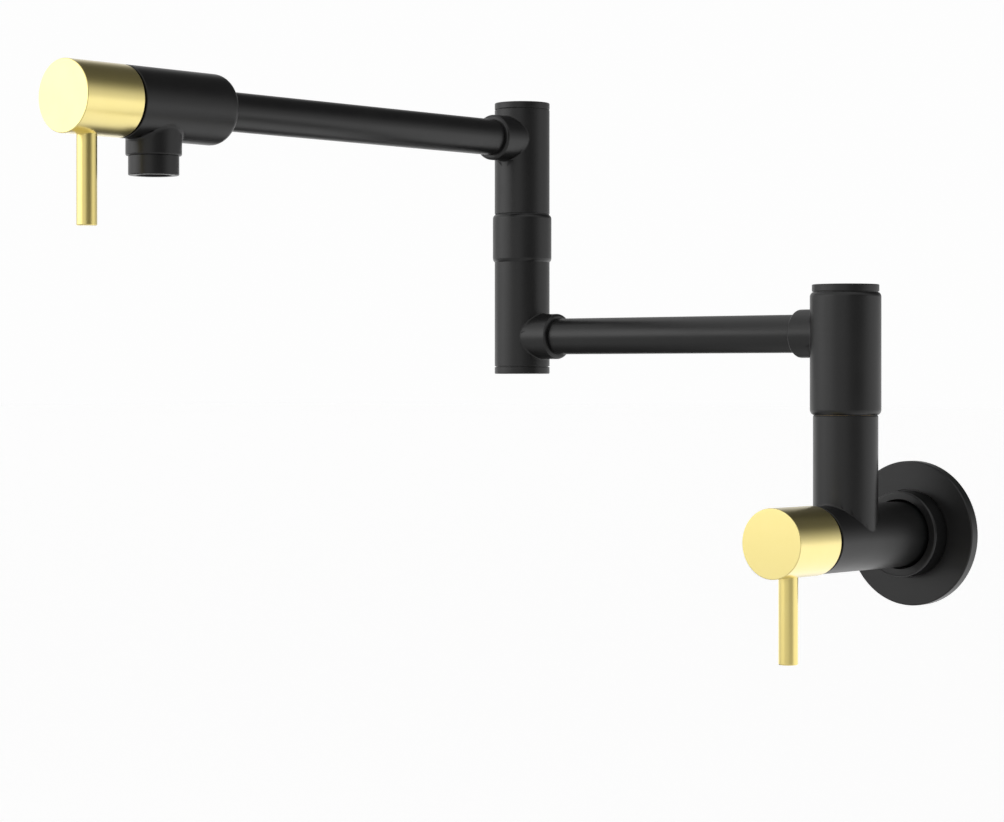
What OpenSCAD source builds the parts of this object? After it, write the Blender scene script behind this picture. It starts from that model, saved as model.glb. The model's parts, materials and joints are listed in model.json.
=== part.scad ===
// Wall mounted pot filler with two folding arms and a valve at each end.
// Millimetres. The origin is on the wall, on the axis of the inlet. The wall is the plane
// Y = 0, the room is on the -Y side and +Z is up. The arms are drawn as they are used:
// the first lies along the wall towards -X, the second points straight out from it.

/* [Wall plate] */
// Diameter of the wall plate
plate_d = 70; // [64:1:90]
// Thickness of the plate at its rim
plate_t = 5.2; // [4:0.2:7]
// Rounding of the plate's front rim
plate_edge = 0.6; // [0.2:0.1:1.2]
// Wall thickness of the hollow plate
plate_wall = 2.2; // [1.6:0.1:2.8]
// Distance of the hub's front face from the wall
hub_out = 14.8; // [14.4:0.2:16]
// Wall of the raised hub
hub_wall = 4.05; // [3.6:0.05:6]
// Space between the hub and the valve body
hub_gap = 1; // [0.6:0.1:1.6]
// Rounding of the hub's front rim
hub_edge = 1; // [0.3:0.1:1.4]
// Width of the foam ring behind the plate
gasket_w = 4.6; // [3:0.2:7]

/* [Inlet adapter] */
// Outside diameter of the pipe thread that enters the wall
inlet_thread_d = 21; // [20:0.1:22]
// Length of the pipe thread
inlet_thread_len = 16; // [12:1:24]
// Water bore of the adapter
inlet_bore_d = 11; // [8:0.5:11]
// Across flats of the key that turns the adapter
inlet_key_af = 12; // [11.5:0.5:12.5]
// Depth of the key's socket
inlet_key_len = 8; // [5:1:12]
// Diameter of the spigot that the valve body slides over
spigot_d = 20; // [19:0.2:21]
// Length of the spigot
spigot_len = 24; // [24:0.5:30]
// Thickness of the stop collar on the wall
stop_t = 3; // [2:0.5:4]
// Diameter of the lock screws
lock_screw_d = 4; // [3:0.5:5]

/* [Valve body] */
// Diameter of the horizontal valve body
body_d = 31.4; // [30.6:0.1:36]
// Distance of the riser's axis from the wall
riser_out = 60.8; // [60:0.2:80]
// Distance from the riser's axis to the front of the valve body
front_reach = 27.2; // [26:0.2:29]
// Diameter of the water passages in the bodies
water_d = 10; // [8:0.5:11]
// Diameter of the riser
riser_d = 30.5; // [29:0.1:34]
// Height of the riser's top above the inlet axis
riser_h = 57.4; // [50:0.2:80]
// Wall of the riser around the post's thread
riser_wall = 3.2; // [2.6:0.1:3.6]
// Depth of the post's thread in the riser
post_seat = 15; // [12:0.5:20]
// Rounding of the riser's top edge
riser_edge = 0.3; // [0.2:0.1:0.5]

/* [Headwork] */
// Depth of the pocket in front of the headwork's thread
pocket_depth = 7; // [6:0.2:8]
// Diameter of the headwork's thread
head_thread_d = 22; // [21:0.1:23]
// Length of the headwork's thread
head_thread_len = 7.5; // [6:0.5:8]
// Across flats of the headwork's hexagon
head_hex_af = 22; // [20:0.1:22.4]
// Distance from the front of a body to its valve seat
seat_depth = 36; // [35:0.2:38]
// Diameter of the ceramic discs
disc_d = 14; // [12:0.2:14.6]
// Thickness of one ceramic disc
disc_t = 3; // [2.4:0.1:3.4]
// Diameter of the spindle
stem_d = 8; // [7:0.2:9]
// Length of the spindle in front of the body
stem_out = 15; // [13:0.5:16]

/* [Knobs and levers] */
// Diameter of the knobs and of the outlet head
knob_d = 32.5; // [31.6:0.1:38]
// Length of a knob
knob_len = 33; // [32:0.5:44]
// Seam between a knob and the body behind it
knob_seam = 0.4; // [0.3:0.1:0.8]
// Rounding of a knob's rims
knob_edge = 0.4; // [0.2:0.1:1]
// Diameter of a lever
lever_d = 9.1; // [8:0.1:11]
// Distance of the lever's axis from the knob's face
lever_inset = 13.5; // [9:0.5:13.5]
// Distance of the lever's end from the knob's axis
lever_reach = 55.7; // [45:0.1:80]
// Rounding of the lever's end
lever_edge = 0.5; // [0.2:0.1:1]
// Diameter of the lever's threaded stud
stud_d = 6; // [5:0.5:6.5]
// Diameter of the screw that holds a knob on its spindle
knob_screw_d = 5; // [4:0.5:5]

/* [Swivel at the riser] */
// How far the sleeve stands out from the riser all round
sleeve_step = 1.45; // [1.2:0.05:2]
// Height of the sleeve
sleeve_h = 57.5; // [56.7:0.2:70.1]
// Height of the first arm above the sleeve's lower end
arm_1_lift = 38.3; // [36:0.1:39]
// Wall of the sleeve
sleeve_wall = 5.65; // [5:0.05:6.2]
// Radius of the sleeve's rounded ends
sleeve_round = 2.8; // [2.2:0.1:3.4]
// Seam under the sleeve
sleeve_seam = 0.5; // [0.3:0.1:0.8]
// Height of the riser's cap
riser_cap_h = 3.3; // [2.4:0.1:6]
// Seam between a cap and the piece under it
cap_seam = 0.4; // [0.3:0.1:1]

/* [Arms] */
// Outside diameter of the arm tubes
arm_d = 18.2; // [17:0.1:19]
// Wall of the arm tubes
arm_wall = 1.3; // [1:0.1:1.6]
// Wall of the side bosses around the tubes
boss_wall = 2.4; // [2:0.1:2.8]
// Length of the boss outside the riser's sleeve
riser_boss_out = 9.3; // [8.5:0.1:14]
// Length of the bosses outside the elbow's barrels
elbow_boss_out = 10.4; // [9:0.1:14]
// Rounding of the bosses' rims
boss_edge = 1.4; // [0.5:0.1:1.8]
// Depth of a tube in its boss
tube_seat = 9; // [7:0.5:9]
// Distance between the two swivel axes
arm_1_span = 198; // [120:1:320]
// Distance from the elbow's axis to the outlet head
arm_2_reach = 216; // [120:0.5:360]

/* [Elbow] */
// Diameter of the elbow's barrels
barrel_d = 28.2; // [27:0.1:32]
// Wall of the barrels
barrel_wall = 4.05; // [3.8:0.05:4.4]
// Height of the swivel's collar above the first arm
lower_long = 38.3; // [36:0.1:50]
// Height of the second arm above the lower rim of its barrel
upper_long = 38; // [22:0.1:50]
// Length of the lower barrel under the first arm
lower_end = 15.1; // [14.4:0.1:20]
// Length of the upper barrel above the second arm
upper_end = 15.3; // [14.4:0.1:20]
// Height of the elbow's bottom cap
bottom_cap_h = 3.5; // [2.6:0.1:6]
// Height of the elbow's top cap
top_cap_h = 3.2; // [2.4:0.1:6]
// Height of the collar
collar_h = 24.2; // [22:0.1:32]
// How far the collar stands out from the barrels all round
collar_step = 0.95; // [0.6:0.05:1.8]
// Radius of the collar's rounded ends
collar_round = 2.6; // [2:0.1:3.2]
// Seam between the collar and the upper barrel
swivel_seam = 0.6; // [0.4:0.1:1.4]

/* [Outlet head] */
// Length of the outlet head
head_len = 59; // [49:0.5:75]
// Radius of the head's rounded rear end
head_round = 4.6; // [3:0.1:5.4]
// Distance of the spout's axis from the head's front
spout_back = 19.4; // [19:0.1:20.4]
// Diameter of the spout
spout_d = 25.1; // [24.6:0.1:28]
// Distance of the spout's lower rim from the head's axis
spout_drop = 23.1; // [21.6:0.1:30]
// Rounding of the spout's lower rim
spout_edge = 0.8; // [0.3:0.1:1]
// Diameter of the aerator's thread
aerator_thread_d = 20; // [18:0.1:20.4]
// Length of the aerator's thread
aerator_thread_len = 6.5; // [4:0.5:6.5]
// Diameter of the aerator's housing
aerator_d = 22.7; // [21.6:0.1:24]
// Height of the aerator's housing under the spout
aerator_h = 8.7; // [6:0.1:14]
// Wall of the aerator's thread
aerator_wall = 1.6; // [1.3:0.1:2]

/* [Hidden] */
$fn = 96;

// Radial clearance of pieces that turn in each other
run_gap = 0.05;
// Radial clearance of threads, tubes and pieces that stay put
seat_gap = 0.05;
// Clearance between a rubber ring and each wall beside it
seal_gap = 0.05;
// Clearance between faces that turn on each other
face_gap = 0.1;
// Space left at the blind end of a hole
blind_gap = 0.4;
// How far a cut runs past a face
over = 1;

// Seams: rounding of the edges beside them, how far what fills them stands back from the
// rim, and the width of the ring that keeps dirt out of the elbow
seam_edge = 0.2;
seam_inset = 0.25;
dust_ring_w = 2.2;

// Sections of the rubber rings and the room beside them in their grooves
ring_s = 1.75;
stem_ring_s = 1.3;
head_ring_s = 1.2;
ring_room = 0.35;

// Colours
black = [0.17, 0.17, 0.175];
gold = [0.87, 0.75, 0.42];
brass = [0.72, 0.6, 0.33];
rubber = [0.06, 0.06, 0.06];
ceramic = [0.93, 0.92, 0.88];
acetal = [0.9, 0.9, 0.86];
steel = [0.62, 0.63, 0.65];

// Wall plate, with the bite of its rubber ring in the hub
plate_ring_bite = 1.4;
hub_bore = body_d / 2 + hub_gap;
hub_r = hub_bore + hub_wall;
plate_hollow = plate_t - plate_wall;
plate_in_r = plate_d / 2 - plate_wall;
plate_ring_s = hub_gap + plate_ring_bite;
plate_ring_floor = body_d / 2 + plate_ring_s + 2 * seal_gap;
plate_ring_out = hub_out / 2;

// Inlet adapter: lip of its stop, lead of its threads, its screws and its rings
stop_lip = 2.5;
thread_lead = 1;
lock_cover = 0.9;
lock_play = 0.2;
lock_bite = 1.5;
lock_sink = 1;
ring_inset = 4.2;
ring_pitch = 5;
stop_d = spigot_d + 2 * stop_lip;
adapter_end = stop_t + spigot_len;
body_back = stop_t + blind_gap;
lock_out = hub_out - lock_cover - lock_screw_d / 2;
lock_groove_w = lock_screw_d + 2 * lock_play;
lock_floor = spigot_d / 2 - lock_bite;
lock_screw_len = body_d / 2 - lock_floor - seat_gap - lock_sink;
adapter_ring_out = [adapter_end - ring_inset - ring_pitch, adapter_end - ring_inset];

// Valve body
body_edge = 0.4;
body_front = riser_out + front_reach;
socket_end = adapter_end + blind_gap;
post_thread_d = riser_d - 2 * riser_wall - 2 * seat_gap;

// Headwork: steps of its chamber, rim and pocket
chamber_step = 0.7;
head_rim = 1.7;
pocket_gap = 0.5;
rim_t = 1.5;
hex_t = 3.5;
hex_corner_d = head_hex_af / cos(30);
chamber_d = head_thread_d - 2 * chamber_step;
rim_d = max(hex_corner_d, head_thread_d + 2 * head_rim);
pocket_d = rim_d + 2 * pocket_gap;
head_groove_w = head_ring_s + ring_room;

// Headwork: jacket, seal, discs and spindle
jacket_wall = 1.75;
roof_t = 1.5;
seal_t = 4;
seal_wall = 2.6;
seal_held = 1;
disc_gap = 0.05;
disc_rim = 2;
quarter_gap = 0.8;
foot_t = 3;
foot_gap = 0.2;
shoulder_wall = 2;
shoulder_t = 2;
window_w = 7;
window_h = 6;
stem_ring_inset = 3;
spline_teeth = 20;
spline_w = 0.4;
spline_len = 11;
disc_bore = disc_d + 2 * run_gap;
jacket_d = disc_bore + 2 * jacket_wall;
jacket_end = seat_depth - seal_t + seal_held;
jacket_roof = pocket_depth + head_thread_len + roof_t;
stack_floor = seat_depth - seal_t;
foot_z = -stack_floor + 2 * disc_t + disc_gap;
foot_d = disc_d - 2 * foot_gap;
shoulder_z = -jacket_roof - face_gap - shoulder_t;
stem_ring_in = pocket_depth + stem_ring_inset;

// Knob and lever
recess_len = 4;
socket_slack = 0.5;
screw_inset = 5.6;
knob_screw_len = 6;
stud_len = 9;
lever_sink = 0.15;
screw_at = knob_seam + recess_len + screw_inset;
lever_seat = sqrt(pow(knob_d / 2, 2) - pow(lever_d / 2, 2)) - lever_sink;
lever_at = knob_seam + knob_len - lever_inset;

// Arm tubes and their bosses
water_step = 0.8;
boss_d = arm_d + 2 * boss_wall;
tube_in_d = arm_d - 2 * arm_wall;
boss_water_d = tube_in_d - 2 * water_step;

// Swivel at the riser: the post with its flange, waist, ports and rings
post_thread_len = 14;
post_rim = 1.25;
post_flange_t = 2;
post_waist = 3;
post_wall = 2;
post_lid = 1;
port_rim = 1;
port_d = 8;
ring_below = 5;
ring_above = 2.4;
glide_t = 1.5;
sleeve_d = riser_d + 2 * sleeve_step;
sleeve_z = riser_h + sleeve_seam;
sleeve_top = sleeve_z + sleeve_h;
sleeve_bore = sleeve_d / 2 - sleeve_wall;
arm_1_z = sleeve_z + arm_1_lift;
post_r = sleeve_bore - run_gap;
post_flange_r = riser_d / 2 - post_rim;
post_waist_r = post_r - post_waist;
post_bore_d = 2 * post_waist_r - 2 * post_wall;
port_h = boss_water_d + 2 * port_rim;
post_ring_z = [arm_1_z - port_h / 2 - ring_below, arm_1_z + port_h / 2 + ring_above];

// Swivel at the riser: what lies under its cap
skirt_gap = 0.3;
top_pocket = 5.2;
top_shelf = 2.4;
top_round_step = 1.1;
top_washer_t = 1;
nut_af = 18;
nut_h = 3.4;
nut_stud_d = 12;
stud_proud = 0.4;
cap_step = 0.5;
cap_wall = 2;
cap_gap = 0.3;
cap_edge = 0.5;
skirt_r = post_flange_r + skirt_gap;
skirt_top = riser_h + post_flange_t + glide_t + face_gap;
shelf_z = sleeve_top - top_pocket;
top_pocket_r = sleeve_bore + top_shelf;
post_top = shelf_z + face_gap;
stud_top = post_top + top_washer_t + nut_h + stud_proud;
riser_cap_d = riser_d + 2 * cap_step;
riser_cap_neck_r = min(riser_cap_d / 2, sleeve_d / 2 - top_round_step) - seam_inset;
riser_plug_d = 2 * top_pocket_r - 2 * seat_gap;
riser_plug_len = sleeve_top - post_top - top_washer_t - cap_gap;

// Elbow: heights
collar_z = arm_1_z + lower_long;
upper_z = collar_z + collar_h + swivel_seam;
arm_2_z = upper_z + upper_long;

// Elbow: the lower barrel's neck, the collar's lip, the spigot and its washers
neck_wall = 2.45;
neck_h = 8;
lip_h = 5;
spigot_step = 0.8;
spigot_wall = 3.5;
spigot_down = 24;
spigot_up = 12.5;
flange_gap = 0.2;
elbow_washer_t = 1.5;
elbow_ring_start = 10;
elbow_ring_pitch = 8;
barrel_bore = barrel_d / 2 - barrel_wall;
neck_r = barrel_bore + neck_wall;
collar_r = barrel_d / 2 + collar_step;
spigot_r = barrel_bore - run_gap;
spigot_neck_r = spigot_r + spigot_step;
spigot_flange_r = neck_r - flange_gap;
spigot_bore_d = 2 * spigot_r - 2 * spigot_wall;
flange_low = neck_h + elbow_washer_t + face_gap;
flange_top = collar_h - lip_h - elbow_washer_t - 2 * face_gap;
elbow_ring_z = [neck_h - elbow_ring_start, neck_h - elbow_ring_start - elbow_ring_pitch];

// Elbow: slack beside its caps' plugs, and how the bosses stand on barrels and sleeve
plug_slack = 0.6;
riser_boss_end = sleeve_d / 2 + riser_boss_out;
elbow_boss_end = barrel_d / 2 + elbow_boss_out;

// Outlet head, spout and aerator
spout_water_d = 9;
aerator_washer_t = 1.2;
aerator_washer_w = 4.5;
washer_room = 0.2;
aerator_edge = 0.5;
insert_inset = 1.6;
insert_t = 5;
insert_rim_t = 2.5;
insert_lip = 0.5;
grid_hole_d = 1.9;
grid_pitch = 2.9;
grid_rings = 2;
head_front = arm_2_reach + head_len;
spout_at = head_front - spout_back;
thread_top = spout_drop - aerator_thread_len;
aerator_seat = thread_top - aerator_washer_t - washer_room;
aerator_in_d = aerator_thread_d - 2 * aerator_wall;
insert_low = spout_drop + aerator_h - insert_inset;
insert_ledge = insert_low - insert_t + insert_rim_t;

// Places. Each turns its children's +Z into the direction that the name gives.
module from_wall(out = 0) {
    translate([0, -out, 0]) rotate([90, 0, 0]) children();
}

module on_riser(z = 0) {
    translate([0, -riser_out, z]) children();
}

module on_elbow(z = 0) {
    translate([-arm_1_span, -riser_out, z]) children();
}

module along_arm_1() {
    on_riser(arm_1_z) rotate([0, -90, 0]) children();
}

module back_along_arm_1() {
    on_elbow(arm_1_z) rotate([0, 90, 0]) children();
}

module along_arm_2(out = 0) {
    on_elbow(arm_2_z) rotate([90, 0, 0]) translate([0, 0, out]) children();
}

module down_spout() {
    along_arm_2(spout_at) rotate([90, 0, 0]) children();
}

module at_inlet_front() {
    from_wall(body_front) children();
}

module at_outlet_front() {
    along_arm_2(head_front) children();
}

module on_bottom_end() {
    on_elbow(arm_1_z - lower_end) mirror([0, 0, 1]) children();
}

module on_top_end() {
    on_elbow(arm_2_z + upper_end) children();
}

// A turned rod from Z = 0 with a rounded rim at its low and at its high end
module turned(r, h, low = 0, high = 0) {
    rotate_extrude() {
        translate([0, low]) square([r, h - low - high]);
        if (low > 0) {
            square([r - low, low]);
            translate([r - low, low]) circle(low);
        }
        if (high > 0) {
            translate([0, h - high]) square([r - high, high]);
            translate([r - high, h - high]) circle(high);
        }
    }
}

// How far up its arc a rounded end has drawn in by step
function arc_rise(round_r, step) = sqrt(2 * round_r * step - step * step);

// A rod whose ends curve in by step_low and step_high on arcs of radius round_r
module barrelled(r, h, round_r, step_low, step_high) {
    low = round_r - arc_rise(round_r, step_low);
    high = round_r - arc_rise(round_r, step_high);
    intersection() {
        translate([0, 0, -low]) turned(r, h + low + high, round_r, round_r);
        cylinder(h = h, r = r + over);
    }
}

// A straight rod or hole from z0 to z1
module rod(d, z0, z1) {
    translate([0, 0, z0]) cylinder(h = z1 - z0, d = d);
}

module hexagon(af, h) {
    cylinder(h = h, d = af / cos(30), $fn = 6);
}

module flat_ring(r_out, r_in, h) {
    difference() {
        cylinder(h = h, r = r_out);
        rod(2 * r_in, -over, h + over);
    }
}

// A groove of width w, centred on z, that leaves a core of radius floor_r
module groove(floor_r, rim_r, w, z) {
    translate([0, 0, z - w / 2]) flat_ring(rim_r + over, floor_r, w);
}

// A rubber ring inside a wall of radius wall_r, and the floor of its groove
module o_ring(wall_r, s) {
    rotate_extrude() translate([wall_r - seal_gap - s / 2, 0]) circle(d = s);
}

function ring_floor(wall_r, s) = wall_r - s - 2 * seal_gap;

// A grub screw along +Z with a hexagon socket in its far end
module grub_screw(d, h) {
    color(steel)
        difference() {
            turned(d / 2, h, d / 8, 0);
            translate([0, 0, h / 2]) hexagon(d / 2, h);
        }
}

// Wall plate and gasket
module wall_gasket() {
    color(rubber)
        from_wall() flat_ring(plate_in_r - seat_gap, plate_in_r - seat_gap - gasket_w,
                              plate_hollow);
}

module escutcheon() {
    color(black)
        from_wall()
            difference() {
                union() {
                    turned(plate_d / 2, plate_t, 0, plate_edge);
                    turned(hub_r, hub_out, 0, hub_edge);
                }
                rod(2 * hub_bore, -over, hub_out + over);
                rod(2 * plate_in_r, -over, plate_hollow);
                translate([0, 0, plate_ring_out])
                    cylinder(h = plate_ring_s + ring_room, r = plate_ring_floor, center = true);
            }
}

module escutcheon_o_ring() {
    color(rubber) from_wall(plate_ring_out) o_ring(plate_ring_floor, plate_ring_s);
}

// Inlet adapter with its rings and lock screws
module inlet_adapter() {
    color(brass)
        from_wall()
            difference() {
                union() {
                    translate([0, 0, -inlet_thread_len])
                        turned(inlet_thread_d / 2, inlet_thread_len, thread_lead, 0);
                    cylinder(h = stop_t, d = stop_d);
                    turned(spigot_d / 2, adapter_end, 0, thread_lead);
                }
                rod(inlet_bore_d, -inlet_thread_len - over, adapter_end + over);
                translate([0, 0, adapter_end - inlet_key_len])
                    hexagon(inlet_key_af, inlet_key_len + over);
                groove(lock_floor, spigot_d / 2, lock_groove_w, lock_out);
                for (out = adapter_ring_out)
                    groove(ring_floor(spigot_d / 2 + seat_gap, ring_s), spigot_d / 2,
                           ring_s + ring_room, out);
            }
}

module adapter_o_rings() {
    color(rubber)
        for (out = adapter_ring_out)
            from_wall(out) o_ring(spigot_d / 2 + seat_gap, ring_s);
}

module adapter_lock_screws() {
    for (side = [-90, 90])
        from_wall(lock_out)
            rotate([0, side, 0])
                translate([0, 0, lock_floor + seat_gap]) grub_screw(lock_screw_d, lock_screw_len);
}

// Spaces that a quarter-turn headwork needs behind the front plane of a body
module headwork_space() {
    rod(pocket_d, -pocket_depth, over);
    rod(head_thread_d + 2 * seat_gap, -pocket_depth - head_thread_len, over);
    rod(chamber_d, -seat_depth, over);
}

module valve_body() {
    color(black)
        difference() {
            union() {
                from_wall(body_back)
                    turned(body_d / 2, body_front - body_back, body_edge, body_edge);
                on_riser() turned(riser_d / 2, riser_h, 0, riser_edge);
            }
            from_wall() {
                rod(spigot_d + 2 * seat_gap, body_back - over, socket_end);
                rod(water_d, socket_end - over, body_front - seat_depth + over);
            }
            at_inlet_front() headwork_space();
            on_riser() {
                rod(water_d, 0, riser_h);
                rod(post_thread_d + 2 * seat_gap, riser_h - post_seat, riser_h + over);
            }
            from_wall(lock_out)
                rotate([0, 90, 0])
                    cylinder(h = body_d + over, d = lock_screw_d + 2 * seat_gap, center = true);
        }
}

// Quarter-turn headwork, drawn with the front plane of its body at Z = 0
module headwork() {
    color(brass)
        difference() {
            union() {
                rod(rim_d, -pocket_depth, -pocket_depth + rim_t);
                translate([0, 0, -pocket_depth + rim_t]) hexagon(head_hex_af, hex_t);
                rod(head_thread_d, -pocket_depth - head_thread_len, -pocket_depth);
                rod(jacket_d, -jacket_end, -pocket_depth - head_thread_len);
            }
            rod(stem_d + 2 * run_gap, -jacket_end - over, over);
            rod(disc_bore, -jacket_end - over, -jacket_roof);
            translate([-window_w / 2, -jacket_d, shoulder_z - window_h])
                cube([window_w, 2 * jacket_d, window_h]);
            groove(ring_floor(head_thread_d / 2 + seat_gap, head_ring_s), head_thread_d / 2,
                   head_groove_w, -pocket_depth - head_groove_w / 2);
        }
}

module headwork_ring() {
    color(rubber)
        translate([0, 0, -pocket_depth - head_groove_w / 2])
            o_ring(head_thread_d / 2 + seat_gap, head_ring_s);
}

module seat_seal() {
    color(rubber)
        translate([0, 0, -seat_depth]) flat_ring(disc_d / 2, disc_d / 2 - seal_wall, seal_t);
}

// Two opposite quarters of a disc of radius r, to be cut out
module quarters(r, h) {
    for (turn = [0, 180])
        rotate([0, 0, turn])
            intersection() {
                rod(2 * r, -over, h + over);
                translate([quarter_gap, quarter_gap, -over]) cube([r, r, h + 2 * over]);
            }
}

module disc() {
    color(ceramic)
        difference() {
            cylinder(h = disc_t, d = disc_d);
            quarters(disc_d / 2 - disc_rim, disc_t);
        }
}

module fixed_disc() {
    translate([0, 0, -stack_floor]) disc();
}

module moving_disc() {
    translate([0, 0, -stack_floor + disc_t + disc_gap]) rotate([0, 0, 90]) disc();
}

module stem() {
    color(brass)
        difference() {
            union() {
                translate([0, 0, foot_z])
                    difference() {
                        cylinder(h = foot_t, d = foot_d);
                        rotate([0, 0, 90]) quarters(foot_d, foot_t);
                    }
                rod(stem_d, foot_z + foot_t / 2, stem_out);
                rod(stem_d + 2 * shoulder_wall, shoulder_z, shoulder_z + shoulder_t);
            }
            groove(ring_floor(stem_d / 2 + run_gap, stem_ring_s), stem_d / 2,
                   stem_ring_s + ring_room, -stem_ring_in);
            for (tooth = [1 : spline_teeth])
                rotate([0, 0, tooth * 360 / spline_teeth])
                    translate([stem_d / 2, 0, stem_out - spline_len])
                        rotate([0, 0, 45])
                            translate([-spline_w / 2, -spline_w / 2, 0])
                                cube([spline_w, spline_w, spline_len + over]);
        }
}

module stem_o_ring() {
    color(rubber)
        translate([0, 0, -stem_ring_in]) o_ring(stem_d / 2 + run_gap, stem_ring_s);
}

// Knob with its lever and screw, drawn with the front plane of its body at Z = 0
// and the lever down
module knob() {
    color(gold)
        difference() {
            translate([0, 0, knob_seam]) turned(knob_d / 2, knob_len, knob_edge, knob_edge);
            rod(pocket_d, -over, knob_seam + recess_len);
            rod(stem_d + 2 * seat_gap, 0, stem_out + socket_slack);
            translate([0, 0, lever_at]) rotate([90, 0, 0]) {
                rod(lever_d + 2 * seat_gap, lever_seat, knob_d);
                rod(stud_d + 2 * seat_gap, lever_seat - stud_len - seat_gap, knob_d);
            }
            translate([0, 0, screw_at]) rotate([0, -90, 0])
                rod(knob_screw_d + 2 * seat_gap, 0, knob_d);
        }
}

module lever() {
    color(gold)
        translate([0, 0, lever_at]) rotate([90, 0, 0]) {
            translate([0, 0, lever_seat])
                turned(lever_d / 2, lever_reach - lever_seat, 0, lever_edge);
            rod(stud_d, lever_seat - stud_len, lever_seat);
        }
}

module knob_screw() {
    translate([0, 0, screw_at]) rotate([0, -90, 0])
        translate([0, 0, stem_d / 2 + seat_gap]) grub_screw(knob_screw_d, knob_screw_len);
}

// Swivel at the riser
module riser_post() {
    color(brass)
        on_riser()
            difference() {
                union() {
                    rod(post_thread_d, riser_h - post_thread_len, riser_h);
                    rod(2 * post_flange_r, riser_h, riser_h + post_flange_t);
                    rod(2 * post_r, riser_h, post_top);
                    rod(nut_stud_d, riser_h, stud_top);
                }
                rod(post_bore_d, 0, arm_1_z + port_d / 2 + post_lid);
                groove(post_waist_r, post_r, port_h, arm_1_z);
                for (turn = [0, 90])
                    translate([0, 0, arm_1_z]) rotate([90, 0, turn])
                        cylinder(h = 2 * post_r, d = port_d, center = true);
                for (z = post_ring_z)
                    groove(ring_floor(sleeve_bore, ring_s), post_r, ring_s + ring_room, z);
            }
}

module riser_post_o_rings() {
    color(rubber)
        for (z = post_ring_z)
            on_riser(z) o_ring(sleeve_bore, ring_s);
}

module riser_glide_washer() {
    color(acetal)
        on_riser(riser_h + post_flange_t)
            flat_ring(post_flange_r, post_r + seat_gap, glide_t);
}

module riser_top_washer() {
    color(acetal)
        on_riser(post_top)
            flat_ring(top_pocket_r - face_gap, nut_stud_d / 2 + seat_gap, top_washer_t);
}

module riser_nut() {
    color(steel)
        on_riser(post_top + top_washer_t)
            difference() {
                hexagon(nut_af, nut_h);
                rod(nut_stud_d + 2 * seat_gap, -over, nut_h + over);
            }
}

module riser_dust_ring() {
    color(rubber)
        on_riser(riser_h)
            flat_ring(riser_d / 2 - seam_inset, post_flange_r + seat_gap,
                      sleeve_seam - face_gap);
}

// A side boss along +Z, and the water way and tube seat inside it
module side_boss(end) {
    turned(boss_d / 2, end, 0, boss_edge);
}

module boss_space(end) {
    rod(boss_water_d, 0, end);
    rod(arm_d + 2 * seat_gap, end - tube_seat, end + over);
}

module riser_sleeve() {
    color(black)
        difference() {
            union() {
                on_riser(sleeve_z)
                    barrelled(sleeve_d / 2, sleeve_h, sleeve_round, sleeve_step, top_round_step);
                along_arm_1() side_boss(riser_boss_end);
            }
            on_riser() {
                rod(2 * sleeve_bore, sleeve_z - over, sleeve_top);
                rod(2 * skirt_r, sleeve_z - over, skirt_top);
                rod(2 * top_pocket_r, shelf_z, sleeve_top + over);
            }
            along_arm_1() boss_space(riser_boss_end);
        }
}

module riser_cap() {
    color(black)
        on_riser(sleeve_top)
            difference() {
                union() {
                    translate([0, 0, cap_seam])
                        turned(riser_cap_d / 2, riser_cap_h, seam_edge, cap_edge);
                    rod(2 * riser_cap_neck_r, 0, cap_seam + seam_edge);
                    rod(riser_plug_d, -riser_plug_len, cap_seam);
                }
                rod(riser_plug_d - 2 * cap_wall, -riser_plug_len - over, cap_seam);
            }
}

// An arm tube along +Z between its two seats
module tube(z0, z1) {
    color(black)
        difference() {
            rod(arm_d, z0, z1);
            rod(tube_in_d, z0 - over, z1 + over);
        }
}

module arm_1_tube() {
    along_arm_1()
        tube(riser_boss_end - tube_seat, arm_1_span - elbow_boss_end + tube_seat);
}

module arm_2_tube() {
    along_arm_2() tube(elbow_boss_end - tube_seat, arm_2_reach + tube_seat);
}

// Elbow
module elbow_lower_barrel() {
    color(black)
        difference() {
            union() {
                on_elbow(arm_1_z - lower_end)
                    turned(barrel_d / 2, lower_end + lower_long, seam_edge, 0);
                on_elbow(collar_z) cylinder(h = neck_h, r = neck_r);
                back_along_arm_1() side_boss(elbow_boss_end);
            }
            on_elbow()
                rod(2 * barrel_bore, arm_1_z - lower_end - over, collar_z + neck_h + over);
            back_along_arm_1() boss_space(elbow_boss_end);
        }
}

module elbow_upper_barrel() {
    color(black)
        difference() {
            union() {
                on_elbow(upper_z)
                    turned(barrel_d / 2, upper_long + upper_end, seam_edge, seam_edge);
                along_arm_2() side_boss(elbow_boss_end);
            }
            on_elbow() rod(2 * barrel_bore, upper_z - over, arm_2_z + upper_end + over);
            along_arm_2() boss_space(elbow_boss_end);
        }
}

// A cap that closes a barrel, drawn with its plug going down from Z = 0. The barrel
// reaches end past its arm's axis.
function plug_len(end) = end - boss_water_d / 2 - plug_slack;

module barrel_cap(h, end) {
    color(black)
        difference() {
            union() {
                translate([0, 0, cap_seam]) turned(barrel_d / 2, h, seam_edge, cap_edge);
                rod(barrel_d - 2 * seam_inset, 0, cap_seam + seam_edge);
                rod(2 * spigot_r, -plug_len(end), 0);
            }
            groove(ring_floor(barrel_bore, ring_s), spigot_r, ring_s + ring_room,
                   -plug_len(end) / 2);
        }
}

module barrel_cap_ring(end) {
    color(rubber) translate([0, 0, -plug_len(end) / 2]) o_ring(barrel_bore, ring_s);
}

module elbow_collar() {
    color(black)
        on_elbow(collar_z)
            difference() {
                barrelled(collar_r, collar_h, collar_round, collar_step, collar_step);
                rod(2 * neck_r + 2 * seat_gap, -over, collar_h - lip_h);
                rod(2 * spigot_neck_r + 2 * run_gap, 0, collar_h + over);
            }
}

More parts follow.
